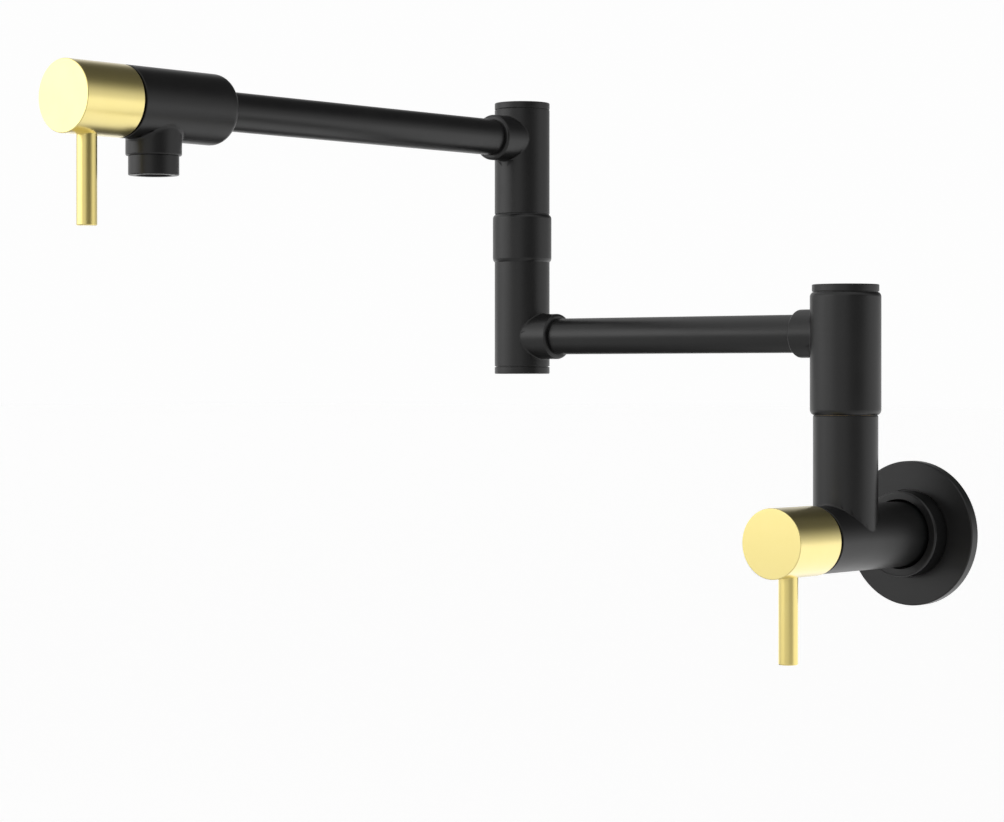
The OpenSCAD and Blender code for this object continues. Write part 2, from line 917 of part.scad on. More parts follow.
module elbow_lower_washer() {
    color(acetal)
        on_elbow(collar_z + neck_h)
            flat_ring(spigot_flange_r, spigot_r + seat_gap, elbow_washer_t);
}

module elbow_upper_washer() {
    color(acetal)
        on_elbow(collar_z + flange_top + face_gap)
            flat_ring(spigot_flange_r, spigot_neck_r + seat_gap, elbow_washer_t);
}

module elbow_dust_ring() {
    ring_r = barrel_d / 2 - seam_inset;
    color(rubber)
        on_elbow(collar_z + collar_h)
            flat_ring(ring_r, ring_r - dust_ring_w, swivel_seam - face_gap);
}

module elbow_spigot() {
    color(brass)
        on_elbow(collar_z)
            difference() {
                union() {
                    rod(2 * spigot_r, neck_h - spigot_down, collar_h + swivel_seam + spigot_up);
                    rod(2 * spigot_flange_r, flange_low, flange_top);
                    rod(2 * spigot_neck_r, flange_low, collar_h + swivel_seam);
                }
                rod(spigot_bore_d, neck_h - spigot_down - over,
                    collar_h + swivel_seam + spigot_up + over);
                for (z = elbow_ring_z)
                    groove(ring_floor(barrel_bore, ring_s), spigot_r, ring_s + ring_room, z);
            }
}

module elbow_spigot_o_rings() {
    color(rubber)
        for (z = elbow_ring_z)
            on_elbow(collar_z + z) o_ring(barrel_bore, ring_s);
}

// Outlet head, spout and aerator
module outlet_head() {
    color(black)
        difference() {
            union() {
                along_arm_2(arm_2_reach) turned(knob_d / 2, head_len, head_round, body_edge);
                down_spout() turned(spout_d / 2, spout_drop, 0, spout_edge);
            }
            along_arm_2() {
                rod(arm_d + 2 * seat_gap, arm_2_reach - over, arm_2_reach + tube_seat);
                rod(water_d, arm_2_reach, head_front - seat_depth + over);
            }
            at_outlet_front() headwork_space();
            down_spout() {
                rod(spout_water_d, 0, spout_drop);
                rod(aerator_thread_d + 2 * seat_gap, aerator_seat, spout_drop + over);
            }
        }
}

module aerator_housing() {
    color(black)
        down_spout()
            difference() {
                union() {
                    rod(aerator_thread_d, thread_top, spout_drop);
                    translate([0, 0, spout_drop])
                        turned(aerator_d / 2, aerator_h, 0, aerator_edge);
                }
                rod(aerator_in_d, thread_top - over, insert_ledge + seat_gap);
                rod(aerator_in_d - 2 * insert_lip, insert_ledge, spout_drop + aerator_h + over);
            }
}

module aerator_insert() {
    color(acetal)
        down_spout()
            difference() {
                union() {
                    rod(aerator_in_d - 2 * insert_lip - 2 * seat_gap, insert_ledge, insert_low);
                    rod(aerator_in_d - 2 * seat_gap, insert_low - insert_t, insert_ledge);
                }
                rod(grid_hole_d, insert_low - insert_t - over, insert_low + over);
                for (ring = [1 : grid_rings], k = [1 : 6 * ring])
                    rotate([0, 0, k * 60 / ring])
                        translate([ring * grid_pitch, 0, 0])
                            rod(grid_hole_d, insert_low - insert_t - over, insert_low + over);
            }
}

module aerator_washer() {
    outer_r = aerator_thread_d / 2;
    color(rubber)
        down_spout()
            translate([0, 0, thread_top - aerator_washer_t])
                flat_ring(outer_r, outer_r - aerator_washer_w, aerator_washer_t);
}

wall_gasket();
escutcheon();
escutcheon_o_ring();
inlet_adapter();
adapter_o_rings();
adapter_lock_screws();
valve_body();
at_inlet_front() headwork();  // inlet_headwork
at_inlet_front() seat_seal();  // inlet_seat_seal
at_inlet_front() fixed_disc();  // inlet_fixed_disc
at_inlet_front() headwork_ring();  // inlet_headwork_ring
riser_post();
riser_post_o_rings();
riser_glide_washer();
riser_top_washer();
riser_nut();
riser_dust_ring();
at_inlet_front() stem();  // inlet_stem
at_inlet_front() stem_o_ring();  // inlet_stem_o_ring
at_inlet_front() moving_disc();  // inlet_moving_disc
at_inlet_front() knob();  // inlet_knob
at_inlet_front() lever();  // inlet_lever
at_inlet_front() knob_screw();  // inlet_knob_screw
riser_sleeve();
riser_cap();
arm_1_tube();
elbow_lower_barrel();
on_bottom_end() barrel_cap(bottom_cap_h, lower_end);  // elbow_bottom_cap
on_bottom_end() barrel_cap_ring(lower_end);  // elbow_bottom_ring
elbow_collar();
elbow_lower_washer();
elbow_upper_washer();
elbow_dust_ring();
elbow_spigot();
elbow_spigot_o_rings();
elbow_upper_barrel();
on_top_end() barrel_cap(top_cap_h, upper_end);  // elbow_top_cap
on_top_end() barrel_cap_ring(upper_end);  // elbow_top_ring
arm_2_tube();
outlet_head();
at_outlet_front() headwork();  // outlet_headwork
at_outlet_front() seat_seal();  // outlet_seat_seal
at_outlet_front() fixed_disc();  // outlet_fixed_disc
at_outlet_front() headwork_ring();  // outlet_headwork_ring
aerator_housing();
aerator_insert();
aerator_washer();
at_outlet_front() stem();  // outlet_stem
at_outlet_front() stem_o_ring();  // outlet_stem_o_ring
at_outlet_front() moving_disc();  // outlet_moving_disc
at_outlet_front() knob();  // outlet_knob
at_outlet_front() lever();  // outlet_lever
at_outlet_front() knob_screw();  // outlet_knob_screw
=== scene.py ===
"""Finished look of a wall mounted pot filler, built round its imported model.

Sizes are in millimetres until a piece is finished. The origin is on the wall, on the axis
of the inlet, the room is on the -Y side and +Z is up.
"""
import json
import logging
import math
from dataclasses import dataclass, field
from enum import Enum
from typing import Iterable, Mapping, Sequence, Union

import bmesh
import bpy
from mathutils import Matrix, Vector


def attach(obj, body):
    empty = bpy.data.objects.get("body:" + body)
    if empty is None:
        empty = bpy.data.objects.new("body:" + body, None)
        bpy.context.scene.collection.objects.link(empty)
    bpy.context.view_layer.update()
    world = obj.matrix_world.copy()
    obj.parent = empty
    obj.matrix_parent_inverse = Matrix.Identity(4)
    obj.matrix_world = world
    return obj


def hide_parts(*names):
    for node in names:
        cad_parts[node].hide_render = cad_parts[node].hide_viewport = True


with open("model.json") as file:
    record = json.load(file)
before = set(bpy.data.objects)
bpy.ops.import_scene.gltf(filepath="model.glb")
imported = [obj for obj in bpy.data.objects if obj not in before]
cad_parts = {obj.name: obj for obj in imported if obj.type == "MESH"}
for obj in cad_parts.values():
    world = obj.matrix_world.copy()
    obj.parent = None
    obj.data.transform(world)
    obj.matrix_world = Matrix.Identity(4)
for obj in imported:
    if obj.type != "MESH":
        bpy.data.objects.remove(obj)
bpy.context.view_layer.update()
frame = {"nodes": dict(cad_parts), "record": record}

MM = 0.001
SOURCE = "source"

# Lengths in millimetres: the play of a piece in its seat, the longest face along a barrel,
# how far a cutter reaches past the face that it opens, and the distance within which two
# points are one
SEAT = 0.05
ROW = 3.0
PAST = 1.0
TOUCH = 1e-4

# Roundings of edges, in millimetres
FAINT = 0.15
FINE = 0.2
BROKEN = 0.3
SOFT = 0.4

log = logging.getLogger("pot_filler")

Colour = tuple[float, float, float]
Point = tuple[float, float, float]


class Facing(Enum):
    """Where the axis of a turned piece points, as a turn in degrees about an axis."""

    UP = (0.0, "X")
    DOWN = (180.0, "X")
    OUT = (90.0, "X")
    LEFT = (-90.0, "Y")
    RIGHT = (90.0, "Y")

    def placed(self, origin: Point = (0.0, 0.0, 0.0)) -> Matrix:
        """Gives the matrix that turns +Z to this facing and moves it to a point.

        Args:
            origin: The point, in millimetres.

        Returns:
            The placing matrix.
        """
        degrees, axis = self.value
        return Matrix.Translation(origin) @ Matrix.Rotation(math.radians(degrees), 4, axis)


class Fit(Enum):
    """How one solid acts on another."""

    JOIN = "UNION"
    CUT = "DIFFERENCE"


# Turned shapes


class Profile:
    """A wire of radius and height that is turned into a solid of revolution."""

    def __init__(self, r: float, z: float) -> None:
        """Starts the wire.

        Args:
            r: Radius of the first point.
            z: Height of the first point.
        """
        self.bm = bmesh.new()
        self.first = self.bm.verts.new((r, 0.0, z))
        self.last = self.first
        self.rounded: dict[float, list[bmesh.types.BMVert]] = {}

    def to(self, r: float, z: float, rounding: float = 0.0) -> "Profile":
        """Draws a straight line to a point.

        Args:
            r: Radius of the point.
            z: Height of the point.
            rounding: Radius that the corner there gets.

        Returns:
            The wire itself, so that calls can follow each other.
        """
        point = self.bm.verts.new((r, 0.0, z))
        self.bm.edges.new((self.last, point))
        self.last = point
        if rounding:
            self.rounded.setdefault(rounding, []).append(point)
        return self

    def swing(self, r: float, z: float, degrees: float, steps: int = 8) -> "Profile":
        """Swings the last point round a centre, from +r towards +z where degrees is positive.

        Args:
            r: Radius of the centre.
            z: Height of the centre.
            degrees: Angle of the arc.
            steps: Number of its pieces.

        Returns:
            The wire itself.
        """
        made = bmesh.ops.spin(self.bm, geom=[self.last], cent=(r, 0.0, z), axis=(0.0, -1.0, 0.0),
                              angle=math.radians(degrees), steps=steps)
        self.last = made["geom_last"][0]
        return self

    def turned(self, steps: int = 128, segments: int = 5, closed: bool = True,
               row: float = 0.0) -> bmesh.types.BMesh:
        """Rounds the marked corners and spins the wire round its axis.

        Args:
            steps: Facets round the axis.
            segments: Facets of each rounding.
            closed: Whether the wire joins its first point, as on a ring.
            row: Longest face along the axis, so that a later cut leaves the shading even.

        Returns:
            The closed solid, drawn along +Z.
        """
        if closed:
            self.bm.edges.new((self.last, self.first))
        for radius, corners in self.rounded.items():
            bmesh.ops.bevel(self.bm, geom=corners, offset=radius, offset_type="OFFSET",
                            segments=segments, profile=0.5, affect="VERTICES", material=-1)
        for edge in [e for e in self.bm.edges if row and e.calc_length() > 1.5 * row]:
            bmesh.ops.subdivide_edges(self.bm, edges=[edge], cuts=int(edge.calc_length() / row))
        bmesh.ops.spin(self.bm, geom=self.bm.verts[:] + self.bm.edges[:], cent=(0.0, 0.0, 0.0),
                       axis=(0.0, 0.0, 1.0), angle=math.tau, steps=steps, use_merge=True)
        bmesh.ops.remove_doubles(self.bm, verts=self.bm.verts[:], dist=TOUCH)
        bmesh.ops.recalc_face_normals(self.bm, faces=self.bm.faces[:])
        return self.bm


def rod(r: float, z0: float, z1: float, low: float = 0.0, high: float = 0.0,
        steps: int = 128, row: float = 0.0) -> bmesh.types.BMesh:
    """Turns a plain rod or the shape of a hole.

    Args:
        r: Radius.
        z0: Lower end.
        z1: Upper end.
        low: Rounding of the lower rim.
        high: Rounding of the upper rim.
        steps: Facets round the axis.
        row: Longest face along the axis.

    Returns:
        The rod along +Z.
    """
    wire = Profile(0.0, z0).to(r, z0, low).to(r, z1, high).to(0.0, z1)
    return wire.turned(steps=steps, segments=8, closed=False, row=row)


def moved(bm: bmesh.types.BMesh, place: Matrix) -> bmesh.types.BMesh:
    """Places a solid in the frame and returns it."""
    bmesh.ops.transform(bm, matrix=place, verts=bm.verts[:])
    return bm


def object_of(name: str, bm: bmesh.types.BMesh) -> bpy.types.Object:
    """Puts a solid in the scene as an object and frees the solid it came from."""
    mesh = bpy.data.meshes.new(name)
    bm.to_mesh(mesh)
    bm.free()
    obj = bpy.data.objects.new(name, mesh)
    bpy.context.scene.collection.objects.link(obj)
    return obj


def settled(bm: bmesh.types.BMesh) -> bmesh.types.BMesh:
    """Orders a solid's points, edges and faces by place, so that each run works alike.

    Args:
        bm: The solid, in the order in which a cut or a join happened to leave it.

    Returns:
        The same solid.
    """
    for elements, key in ((bm.verts, lambda v: tuple(v.co)),
                          (bm.edges, lambda e: sorted(v.index for v in e.verts)),
                          (bm.faces, lambda f: sorted(v.index for v in f.verts))):
        for number, element in enumerate(sorted(elements, key=key)):
            element.index = number
        elements.sort()
    return bm


def fitted(base: bmesh.types.BMesh, how: Fit, others: Iterable[bmesh.types.BMesh],
           fillet: float = 0.0) -> bmesh.types.BMesh:
    """Joins solids to a base or cuts them out of it.

    Args:
        base: The solid that is kept.
        how: Whether the others are joined or cut out.
        others: The other solids, used up by this.
        fillet: Radius of the rounding along the line where they meet.

    Returns:
        The resulting closed solid.
    """
    if fillet:
        base.faces.layers.int.new(SOURCE)
    body = object_of("base", base)
    tools = []
    for number, other in enumerate(others, 1):
        if fillet:
            layer = other.faces.layers.int.new(SOURCE)
            for face in other.faces:
                face[layer] = number
        tool = object_of("tool", other)
        step = body.modifiers.new("fit", "BOOLEAN")
        step.operation, step.solver, step.object = how.value, "EXACT", tool
        tools.append(tool)
    result = bmesh.new()
    result.from_object(body, bpy.context.evaluated_depsgraph_get())
    for obj in [body, *tools]:
        mesh = obj.data
        bpy.data.objects.remove(obj)
        bpy.data.meshes.remove(mesh)
    if fillet:
        round_meeting_line(settled(result), fillet)
    return settled(result)


def meeting_edges(bm: bmesh.types.BMesh) -> list[bmesh.types.BMEdge]:
    """Finds the edges between faces that came from different solids."""
    layer = bm.faces.layers.int[SOURCE]
    return [e for e in bm.edges
            if len(e.link_faces) == 2 and e.link_faces[0][layer] != e.link_faces[1][layer]]


def round_meeting_line(bm: bmesh.types.BMesh, radius: float, merged: float = 0.25) -> None:
    """Rounds the line along which two joined solids meet.

    Args:
        bm: The joined solid, whose faces say which solid they came from.
        radius: Radius of the rounding.
        merged: Share of the radius within which points of the line become one.
    """
    met = {v for e in meeting_edges(bm) for v in e.verts}
    bmesh.ops.remove_doubles(bm, verts=[v for v in bm.verts if v in met],
                             dist=radius * merged)
    bmesh.ops.bevel(bm, geom=meeting_edges(bm), offset=radius, offset_type="OFFSET", segments=3,
                    profile=0.5, affect="EDGES", material=-1, clamp_overlap=False,
                    loop_slide=True)
    bmesh.ops.recalc_face_normals(bm, faces=bm.faces[:])


@dataclass
class Piece:
    """A finished, visible piece and what it stands for."""

    name: str
    body: str
    slot: str
    replaces: tuple[str, ...]
    sharp_over: float = 32.0

    def finished(self, bm: bmesh.types.BMesh, material: bpy.types.Material) -> bpy.types.Object:
        """Turns a solid in millimetres into the piece's object, puts it under its body and hides
        the solids that it replaces.

        Args:
            bm: The solid in its place, used up by this.
            material: Its finish.

        Returns:
            The object, at the origin and unturned.
        """
        for layer in [x for x in bm.faces.layers.int if x.name == SOURCE]:
            bm.faces.layers.int.remove(layer)
        bmesh.ops.scale(bm, vec=(MM, MM, MM), verts=bm.verts[:])
        obj = object_of(self.name, bm)
        mesh = obj.data
        mesh.shade_smooth()
        mesh.set_sharp_from_angle(angle=math.radians(self.sharp_over))
        mesh.materials.append(material)
        even = obj.modifiers.new("even_shading", "WEIGHTED_NORMAL")
        even.mode, even.weight, even.keep_sharp = "FACE_AREA", 50, True
        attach(obj, self.body)
        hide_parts(*self.replaces)
        log.info("%s: %d faces on %s", self.name, len(mesh.polygons), self.body)
        return obj


# Materials

Fed = Union[bpy.types.NodeSocket, float, Sequence[float]]


class MixKind(Enum):
    """Data type of a mix node, with the places of its first input and of its result."""

    NUMBER = ("FLOAT", 2, 0)
    TINT = ("RGBA", 6, 2)


class Wiring:
    """Adds nodes to a tree and feeds their inputs."""

    columns = 8
    spacing = (200, -260)

    def __init__(self, tree: bpy.types.NodeTree) -> None:
        """Keeps the tree.

        Args:
            tree: The node tree to work in.
        """
        self.tree = tree
        self.count = 0

    def add(self, kind: str, values: Mapping[str, Fed] | None = None,
            **settings: object) -> bpy.types.Node:
        """Adds a node, sets its properties and feeds its inputs.

        Args:
            kind: Its type.
            values: What each of its inputs gets, by label.
            **settings: Properties to set on it.

        Returns:
            The node.
        """
        node = self.tree.nodes.new(kind)
        line, column = divmod(self.count, self.columns)
        node.location = (self.spacing[0] * column, self.spacing[1] * line)
        self.count += 1
        for key, value in settings.items():
            setattr(node, key, value)
        self.feed(node, values or {})
        return node

    def put(self, value: Fed, target: bpy.types.NodeSocket) -> None:
        """Joins a socket to an input, or sets a value on it.

        Args:
            value: The output socket or the value.
            target: The input.
        """
        if isinstance(value, bpy.types.NodeSocket):
            self.tree.links.new(value, target)
        else:
            target.default_value = value

    def feed(self, node: bpy.types.Node, values: Mapping[str, Fed]) -> None:
        """Feeds several inputs of a node.

        Args:
            node: The node.
            values: What each of its inputs gets, by label.
        """
        for label, value in values.items():
            self.put(value, node.inputs[label])

    def math(self, operation: str, *terms: Fed) -> bpy.types.NodeSocket:
        """Adds a calculation with numbers.

        Args:
            operation: What it does.
            *terms: Its inputs in order.

        Returns:
            Its result.
        """
        node = self.add("ShaderNodeMath", operation=operation)
        for term, target in zip(terms, node.inputs):
            self.put(term, target)
        return node.outputs[0]

    def dot(self, first: Fed, second: Fed) -> bpy.types.NodeSocket:
        """Adds a dot product of two vectors.

        Args:
            first: One vector.
            second: The other vector.

        Returns:
            Its result.
        """
        node = self.add("ShaderNodeVectorMath", operation="DOT_PRODUCT")
        self.put(first, node.inputs[0])
        self.put(second, node.inputs[1])
        return node.outputs["Value"]

    def mix(self, kind: MixKind, share: Fed, first: Fed, second: Fed) -> bpy.types.NodeSocket:
        """Adds a mix of two numbers or colours.

        Args:
            kind: What is mixed.
            share: Share of the second.
            first: The first.
            second: The second.

        Returns:
            The mix.
        """
        data_type, first_input, result = kind.value
        node = self.add("ShaderNodeMix", data_type=data_type)
        self.put(share, node.inputs[0])
        self.put(first, node.inputs[first_input])
        self.put(second, node.inputs[first_input + 1])
        return node.outputs[result]


def new_group(name: str, inputs: Sequence[tuple[str, str, object]],
              outputs: Sequence[tuple[str, str]]) -> tuple[bpy.types.NodeTree, Wiring,
                                                           bpy.types.Node, bpy.types.Node]:
    """Starts a shader node group with named sockets.

    Args:
        name: Name of the group.
        inputs: Name, socket type and default of each input.
        outputs: Name and socket type of each output.

    Returns:
        The group, its wiring, its input node and its output node.
    """
    tree = bpy.data.node_groups.new(name, "ShaderNodeTree")
    for label, kind, default in inputs:
        socket = tree.interface.new_socket(name=label, in_out="INPUT", socket_type=kind)
        if default is not None:
            socket.default_value = default
    for label, kind in outputs:
        tree.interface.new_socket(name=label, in_out="OUTPUT", socket_type=kind)
    wire = Wiring(tree)
    return tree, wire, wire.add("NodeGroupInput"), wire.add("NodeGroupOutput")


def new_material(name: str) -> tuple[bpy.types.Material, Wiring, bpy.types.Node]:
    """Starts a material.

    Args:
        name: Name of the material.

    Returns:
        The material, its wiring and its surface shader.
    """
    material = bpy.data.materials.new(name)
    material.use_nodes = True
    return material, Wiring(material.node_tree), material.node_tree.nodes["Principled BSDF"]


def rgba(colour: Colour) -> tuple[float, float, float, float]:
    """Adds a full alpha to a colour."""
    return (*colour, 1.0)


FLOAT = "NodeSocketFloat"
VECTOR = "NodeSocketVector"
COLOUR = "NodeSocketColor"


class Effects:
    """The surface effects that several finishes share, each built once."""

    def __init__(self) -> None:
        """Builds the groups."""
        self.mottle = self._mottle()
        self.relief = self._relief()
        self.turning = self._turning()
        self.rim_highlights = self._rim_highlights()

    @staticmethod
    def _mottle() -> bpy.types.NodeTree:
        """Builds a soft, cloudy mix of two colours with a matching value.

        Returns:
            The group.
        """
        tree, wire, start, end = new_group(
            "soft_mottle",
            [("Scale", FLOAT, 40.0), ("First", COLOUR, (1, 1, 1, 1)),
             ("Second", COLOUR, (0, 0, 0, 1)), ("Low", FLOAT, 0.3), ("High", FLOAT, 0.4)],
            [("Color", COLOUR), ("Value", FLOAT)])
        place = wire.add("ShaderNodeTexCoord").outputs["Object"]
        noise = wire.add("ShaderNodeTexNoise", {
            "Vector": place, "Scale": start.outputs["Scale"], "Detail": 4.0, "Roughness": 0.6})
        spread = wire.add("ShaderNodeMapRange", {
            "Value": noise.outputs["Fac"], "From Min": 0.3, "From Max": 0.7}).outputs["Result"]
        level = wire.add("ShaderNodeMapRange", {
            "Value": spread, "To Min": start.outputs["Low"], "To Max": start.outputs["High"]})
        wire.feed(end, {
            "Color": wire.mix(MixKind.TINT, spread, start.outputs["First"],
                              start.outputs["Second"]),
            "Value": level.outputs["Result"]})
        return tree

    @staticmethod
    def _relief() -> bpy.types.NodeTree:
        """Builds the fine relief of a sprayed, cast or moulded surface.

        Returns:
            The group.
        """
        tree, wire, start, end = new_group(
            "fine_relief", [("Scale", FLOAT, 2500.0), ("Coarse", FLOAT, 0.3)],
            [("Height", FLOAT)])
        coarse_share = 0.22
        place = wire.add("ShaderNodeTexCoord").outputs["Object"]
        fine = wire.add("ShaderNodeTexNoise", {
            "Vector": place, "Scale": start.outputs["Scale"], "Detail": 2.0})
        coarse = wire.add("ShaderNodeTexNoise", {
            "Vector": place, "Detail": 1.0,
            "Scale": wire.math("MULTIPLY", start.outputs["Scale"], coarse_share)})
        wire.feed(end, {"Height": wire.mix(MixKind.NUMBER, start.outputs["Coarse"],
                                           fine.outputs["Fac"], coarse.outputs["Fac"])})
        return tree

    @staticmethod
    def _turning() -> bpy.types.NodeTree:
        """Builds the fine rings that a lathe and an abrasive pad leave round an axis.

        The vector comes with the piece's axis on Z. The rings follow the radius on flat
        faces and the height on round ones.

        Returns:
            The group.
        """
        tree, wire, start, end = new_group(
            "turning_rings",
            [("Vector", VECTOR, None), ("Spacing", FLOAT, 3000.0), ("Low", FLOAT, 0.25),
             ("High", FLOAT, 0.35)],
            [("Height", FLOAT), ("Value", FLOAT)])
        split = wire.add("ShaderNodeSeparateXYZ", {"Vector": start.outputs["Vector"]}).outputs
        flat = wire.add("ShaderNodeCombineXYZ", {"X": split["X"], "Y": split["Y"]})
        radius = wire.add("ShaderNodeVectorMath", {"Vector": flat.outputs["Vector"]},
                          operation="LENGTH")
        rings = wire.add("ShaderNodeCombineXYZ", {"X": radius.outputs["Value"],
                                                  "Z": split["Z"]})
        close = wire.add("ShaderNodeVectorMath", {
            "Vector": rings.outputs["Vector"], "Scale": start.outputs["Spacing"]},
            operation="SCALE")
        noise = wire.add("ShaderNodeTexNoise", {
            "Vector": close.outputs["Vector"], "Scale": 1.0, "Detail": 5.0, "Roughness": 0.75})
        level = wire.add("ShaderNodeMapRange", {
            "Value": noise.outputs["Fac"], "From Min": 0.25, "From Max": 0.75,
            "To Min": start.outputs["Low"], "To Max": start.outputs["High"]})
        wire.feed(end, {"Height": noise.outputs["Fac"], "Value": level.outputs["Result"]})
        return tree

    @staticmethod
    def _rim_highlights() -> bpy.types.NodeTree:
        """Builds a mask of the outer edges, patchy along them, where a lighter colour is laid as
        a painted highlight.

        Returns:
            The group.
        """
        tree, wire, start, end = new_group(
            "painted_rim_highlights", [("Width", FLOAT, 0.0005), ("Amount", FLOAT, 0.5)],
            [("Mask", FLOAT)])
        soft = wire.add("ShaderNodeBevel", {"Radius": start.outputs["Width"]}, samples=4)
        shape = wire.add("ShaderNodeNewGeometry")
        turn = wire.dot(soft.outputs["Normal"], shape.outputs["Normal"])
        bend = wire.add("ShaderNodeMapRange", {"Value": turn, "From Min": 0.995,
                                               "From Max": 0.9})
        place = wire.add("ShaderNodeTexCoord").outputs["Object"]
        patches = wire.add("ShaderNodeTexNoise", {"Vector": place, "Scale": 260.0,
                                                  "Detail": 3.0})
        share = wire.add("ShaderNodeMapRange", {
            "Value": patches.outputs["Fac"], "From Min": 0.35, "From Max": 0.65,
            "To Min": 0.35})
        uneven = wire.math("MULTIPLY", bend.outputs["Result"], share.outputs["Result"])
        wire.feed(end, {"Mask": wire.math("MULTIPLY", uneven, start.outputs["Amount"])})
        return tree


class Workshop:
    """Makes the layers of the materials from the shared effects."""

    def __init__(self) -> None:
        """Builds the shared effects."""
        self.effects = Effects()

    def group(self, wire: Wiring, tree: bpy.types.NodeTree, **values: Fed) -> bpy.types.Node:
        """Places a shared effect in a material.

        Args:
            wire: Wiring of the material.
            tree: The effect.
            **values: What its inputs get, with capital first letters.

        Returns:
            The placed node.
        """
        return wire.add("ShaderNodeGroup", values, node_tree=tree)

    def with_rim_highlights(self, wire: Wiring, colour: Fed, highlight_colour: Colour, width: float,
             amount: float) -> bpy.types.NodeSocket:
        """Lays a lighter colour over the rims as a painted highlight.

        Args:
            wire: Wiring of the material.
            colour: Colour of the surface away from the rims.
            highlight_colour: Colour of the painted highlight on the rims.
            width: Width of the rims, in metres.
            amount: Share of the painted highlight colour.

        Returns:
            The colour with its rims.
        """
        rim_highlights = self.group(wire, self.effects.rim_highlights, Width=width, Amount=amount)
        return wire.mix(MixKind.TINT, rim_highlights.outputs["Mask"], colour, rgba(highlight_colour))

    def bumped(self, wire: Wiring, height: Fed, strength: float,
               depth: float) -> bpy.types.NodeSocket:
        """Turns a relief into a normal.

        Args:
            wire: Wiring of the material.
            height: The relief.
            strength: Its strength.
            depth: Its depth, in metres.

        Returns:
            The normal.
        """
        bump = wire.add("ShaderNodeBump", {"Strength": strength, "Distance": depth,
                                           "Height": height})
        return bump.outputs["Normal"]


@dataclass(frozen=True)
class CoatedFinish:
    """A thin satin black coating, with a painted highlight along its rims."""

    name: str = "black_coat"
    base: Colour = (0.0075, 0.0075, 0.0078)
    clouds: Colour = (0.0105, 0.0104, 0.0104)
    cloud_scale: float = 55.0
    # The rim colour, its width and its share make a painted highlight along the rims.
    highlight_colour: Colour = (0.017, 0.017, 0.0175)
    rim_width: float = 0.0005
    highlight_share: float = 0.3
    roughness: tuple[float, float] = (0.33, 0.38)
    relief_scale: float = 2600.0
    coarse: float = 0.35
    relief: float = 0.05
    relief_depth: float = 0.0002

    def material(self, shop: Workshop) -> bpy.types.Material:
        """Makes the material.

        Args:
            shop: The workshop with the shared effects.

        Returns:
            The material.
        """
        material, wire, shader = new_material(self.name)
        low, high = self.roughness
        mottle = shop.group(wire, shop.effects.mottle, Scale=self.cloud_scale,
                            First=rgba(self.base), Second=rgba(self.clouds), Low=low, High=high)
        relief = shop.group(wire, shop.effects.relief, Scale=self.relief_scale,
                            Coarse=self.coarse)
        wire.feed(shader, {
            "Base Color": shop.with_rim_highlights(wire, mottle.outputs["Color"], self.highlight_colour,
                                    self.rim_width, self.highlight_share),
            "Roughness": mottle.outputs["Value"],
            "Normal": shop.bumped(wire, relief.outputs["Height"], self.relief,
                                  self.relief_depth)})
        return material


class BrassTone(Enum):
    """Base, cloud and painted rim highlight colour of the brass."""

    PALE = ((0.97, 0.82, 0.32), (0.955, 0.805, 0.3), (0.98, 0.87, 0.43))
    DEEP = ((0.97, 0.8, 0.28), (0.955, 0.78, 0.26), (0.98, 0.85, 0.38))


@dataclass(frozen=True)
class BrushedBrassFinish:
    """Lacquered satin brass with fine rings round the piece's own axis."""

    name: str
    centre: Point
    facing: Facing
    tone: BrassTone
    cloud_scale: float = 70.0
    # The rim width and share lay the tone's lighter rim colour along the rims as a painted
    # highlight.
    rim_width: float = 0.0004
    highlight_share: float = 0.5
    roughness: tuple[float, float] = (0.27, 0.31)
    ring_spacing: float = 2600.0
    relief: float = 0.012
    relief_depth: float = 0.0001
    lacquer: float = 1.0
    lacquer_roughness: float = 0.25

    def material(self, shop: Workshop) -> bpy.types.Material:
        """Makes the material for a piece whose axis runs through the centre.

        Args:
            shop: The workshop with the shared effects.

        Returns:
            The material.
        """
        material, wire, shader = new_material(self.name)
        low, high = self.roughness
        base, clouds, highlight_colour = self.tone.value
        onto_axis = wire.add("ShaderNodeMapping", {
            "Vector": wire.add("ShaderNodeTexCoord").outputs["Object"],
            "Location": Vector(self.centre) * MM}, vector_type="TEXTURE")
        degrees, axis = self.facing.value
        onto_axis.inputs["Rotation"].default_value["XYZ".index(axis)] = math.radians(degrees)
        rings = shop.group(wire, shop.effects.turning, Vector=onto_axis.outputs["Vector"],
                           Spacing=self.ring_spacing, Low=low, High=high)
        mottle = shop.group(wire, shop.effects.mottle, Scale=self.cloud_scale,
                            First=rgba(base), Second=rgba(clouds))
        wire.feed(shader, {
            "Base Color": shop.with_rim_highlights(wire, mottle.outputs["Color"], highlight_colour, self.rim_width,
                                    self.highlight_share),
            "Metallic": 1.0,
            "Roughness": rings.outputs["Value"],
            "Normal": shop.bumped(wire, rings.outputs["Height"], self.relief,
                                  self.relief_depth),
            "Coat Weight": self.lacquer,
            "Coat Roughness": self.lacquer_roughness})
        return material


@dataclass(frozen=True)
class PlainFinish:
    """A cloudy finish with a fine relief, for raw metal, rubber, ceramic and plastic."""

    name: str
    base: Colour
    clouds: Colour
    roughness: tuple[float, float]
    metallic: float = 0.0
    cloud_scale: float = 90.0
    relief_scale: float = 2500.0
    coarse: float = 0.4
    relief: float = 0.1
    relief_depth: float = 0.0002

    def material(self, shop: Workshop) -> bpy.types.Material:
        """Makes the material.

        Args:
            shop: The workshop with the shared effects.

        Returns:
            The material.
        """
        material, wire, shader = new_material(self.name)
        low, high = self.roughness
        mottle = shop.group(wire, shop.effects.mottle, Scale=self.cloud_scale,
                            First=rgba(self.base), Second=rgba(self.clouds), Low=low, High=high)
        relief = shop.group(wire, shop.effects.relief, Scale=self.relief_scale,
                            Coarse=self.coarse)
        wire.feed(shader, {
            "Base Color": mottle.outputs["Color"],
            "Metallic": self.metallic,
            "Roughness": mottle.outputs["Value"],
            "Normal": shop.bumped(wire, relief.outputs["Height"], self.relief,
                                  self.relief_depth)})
        return material


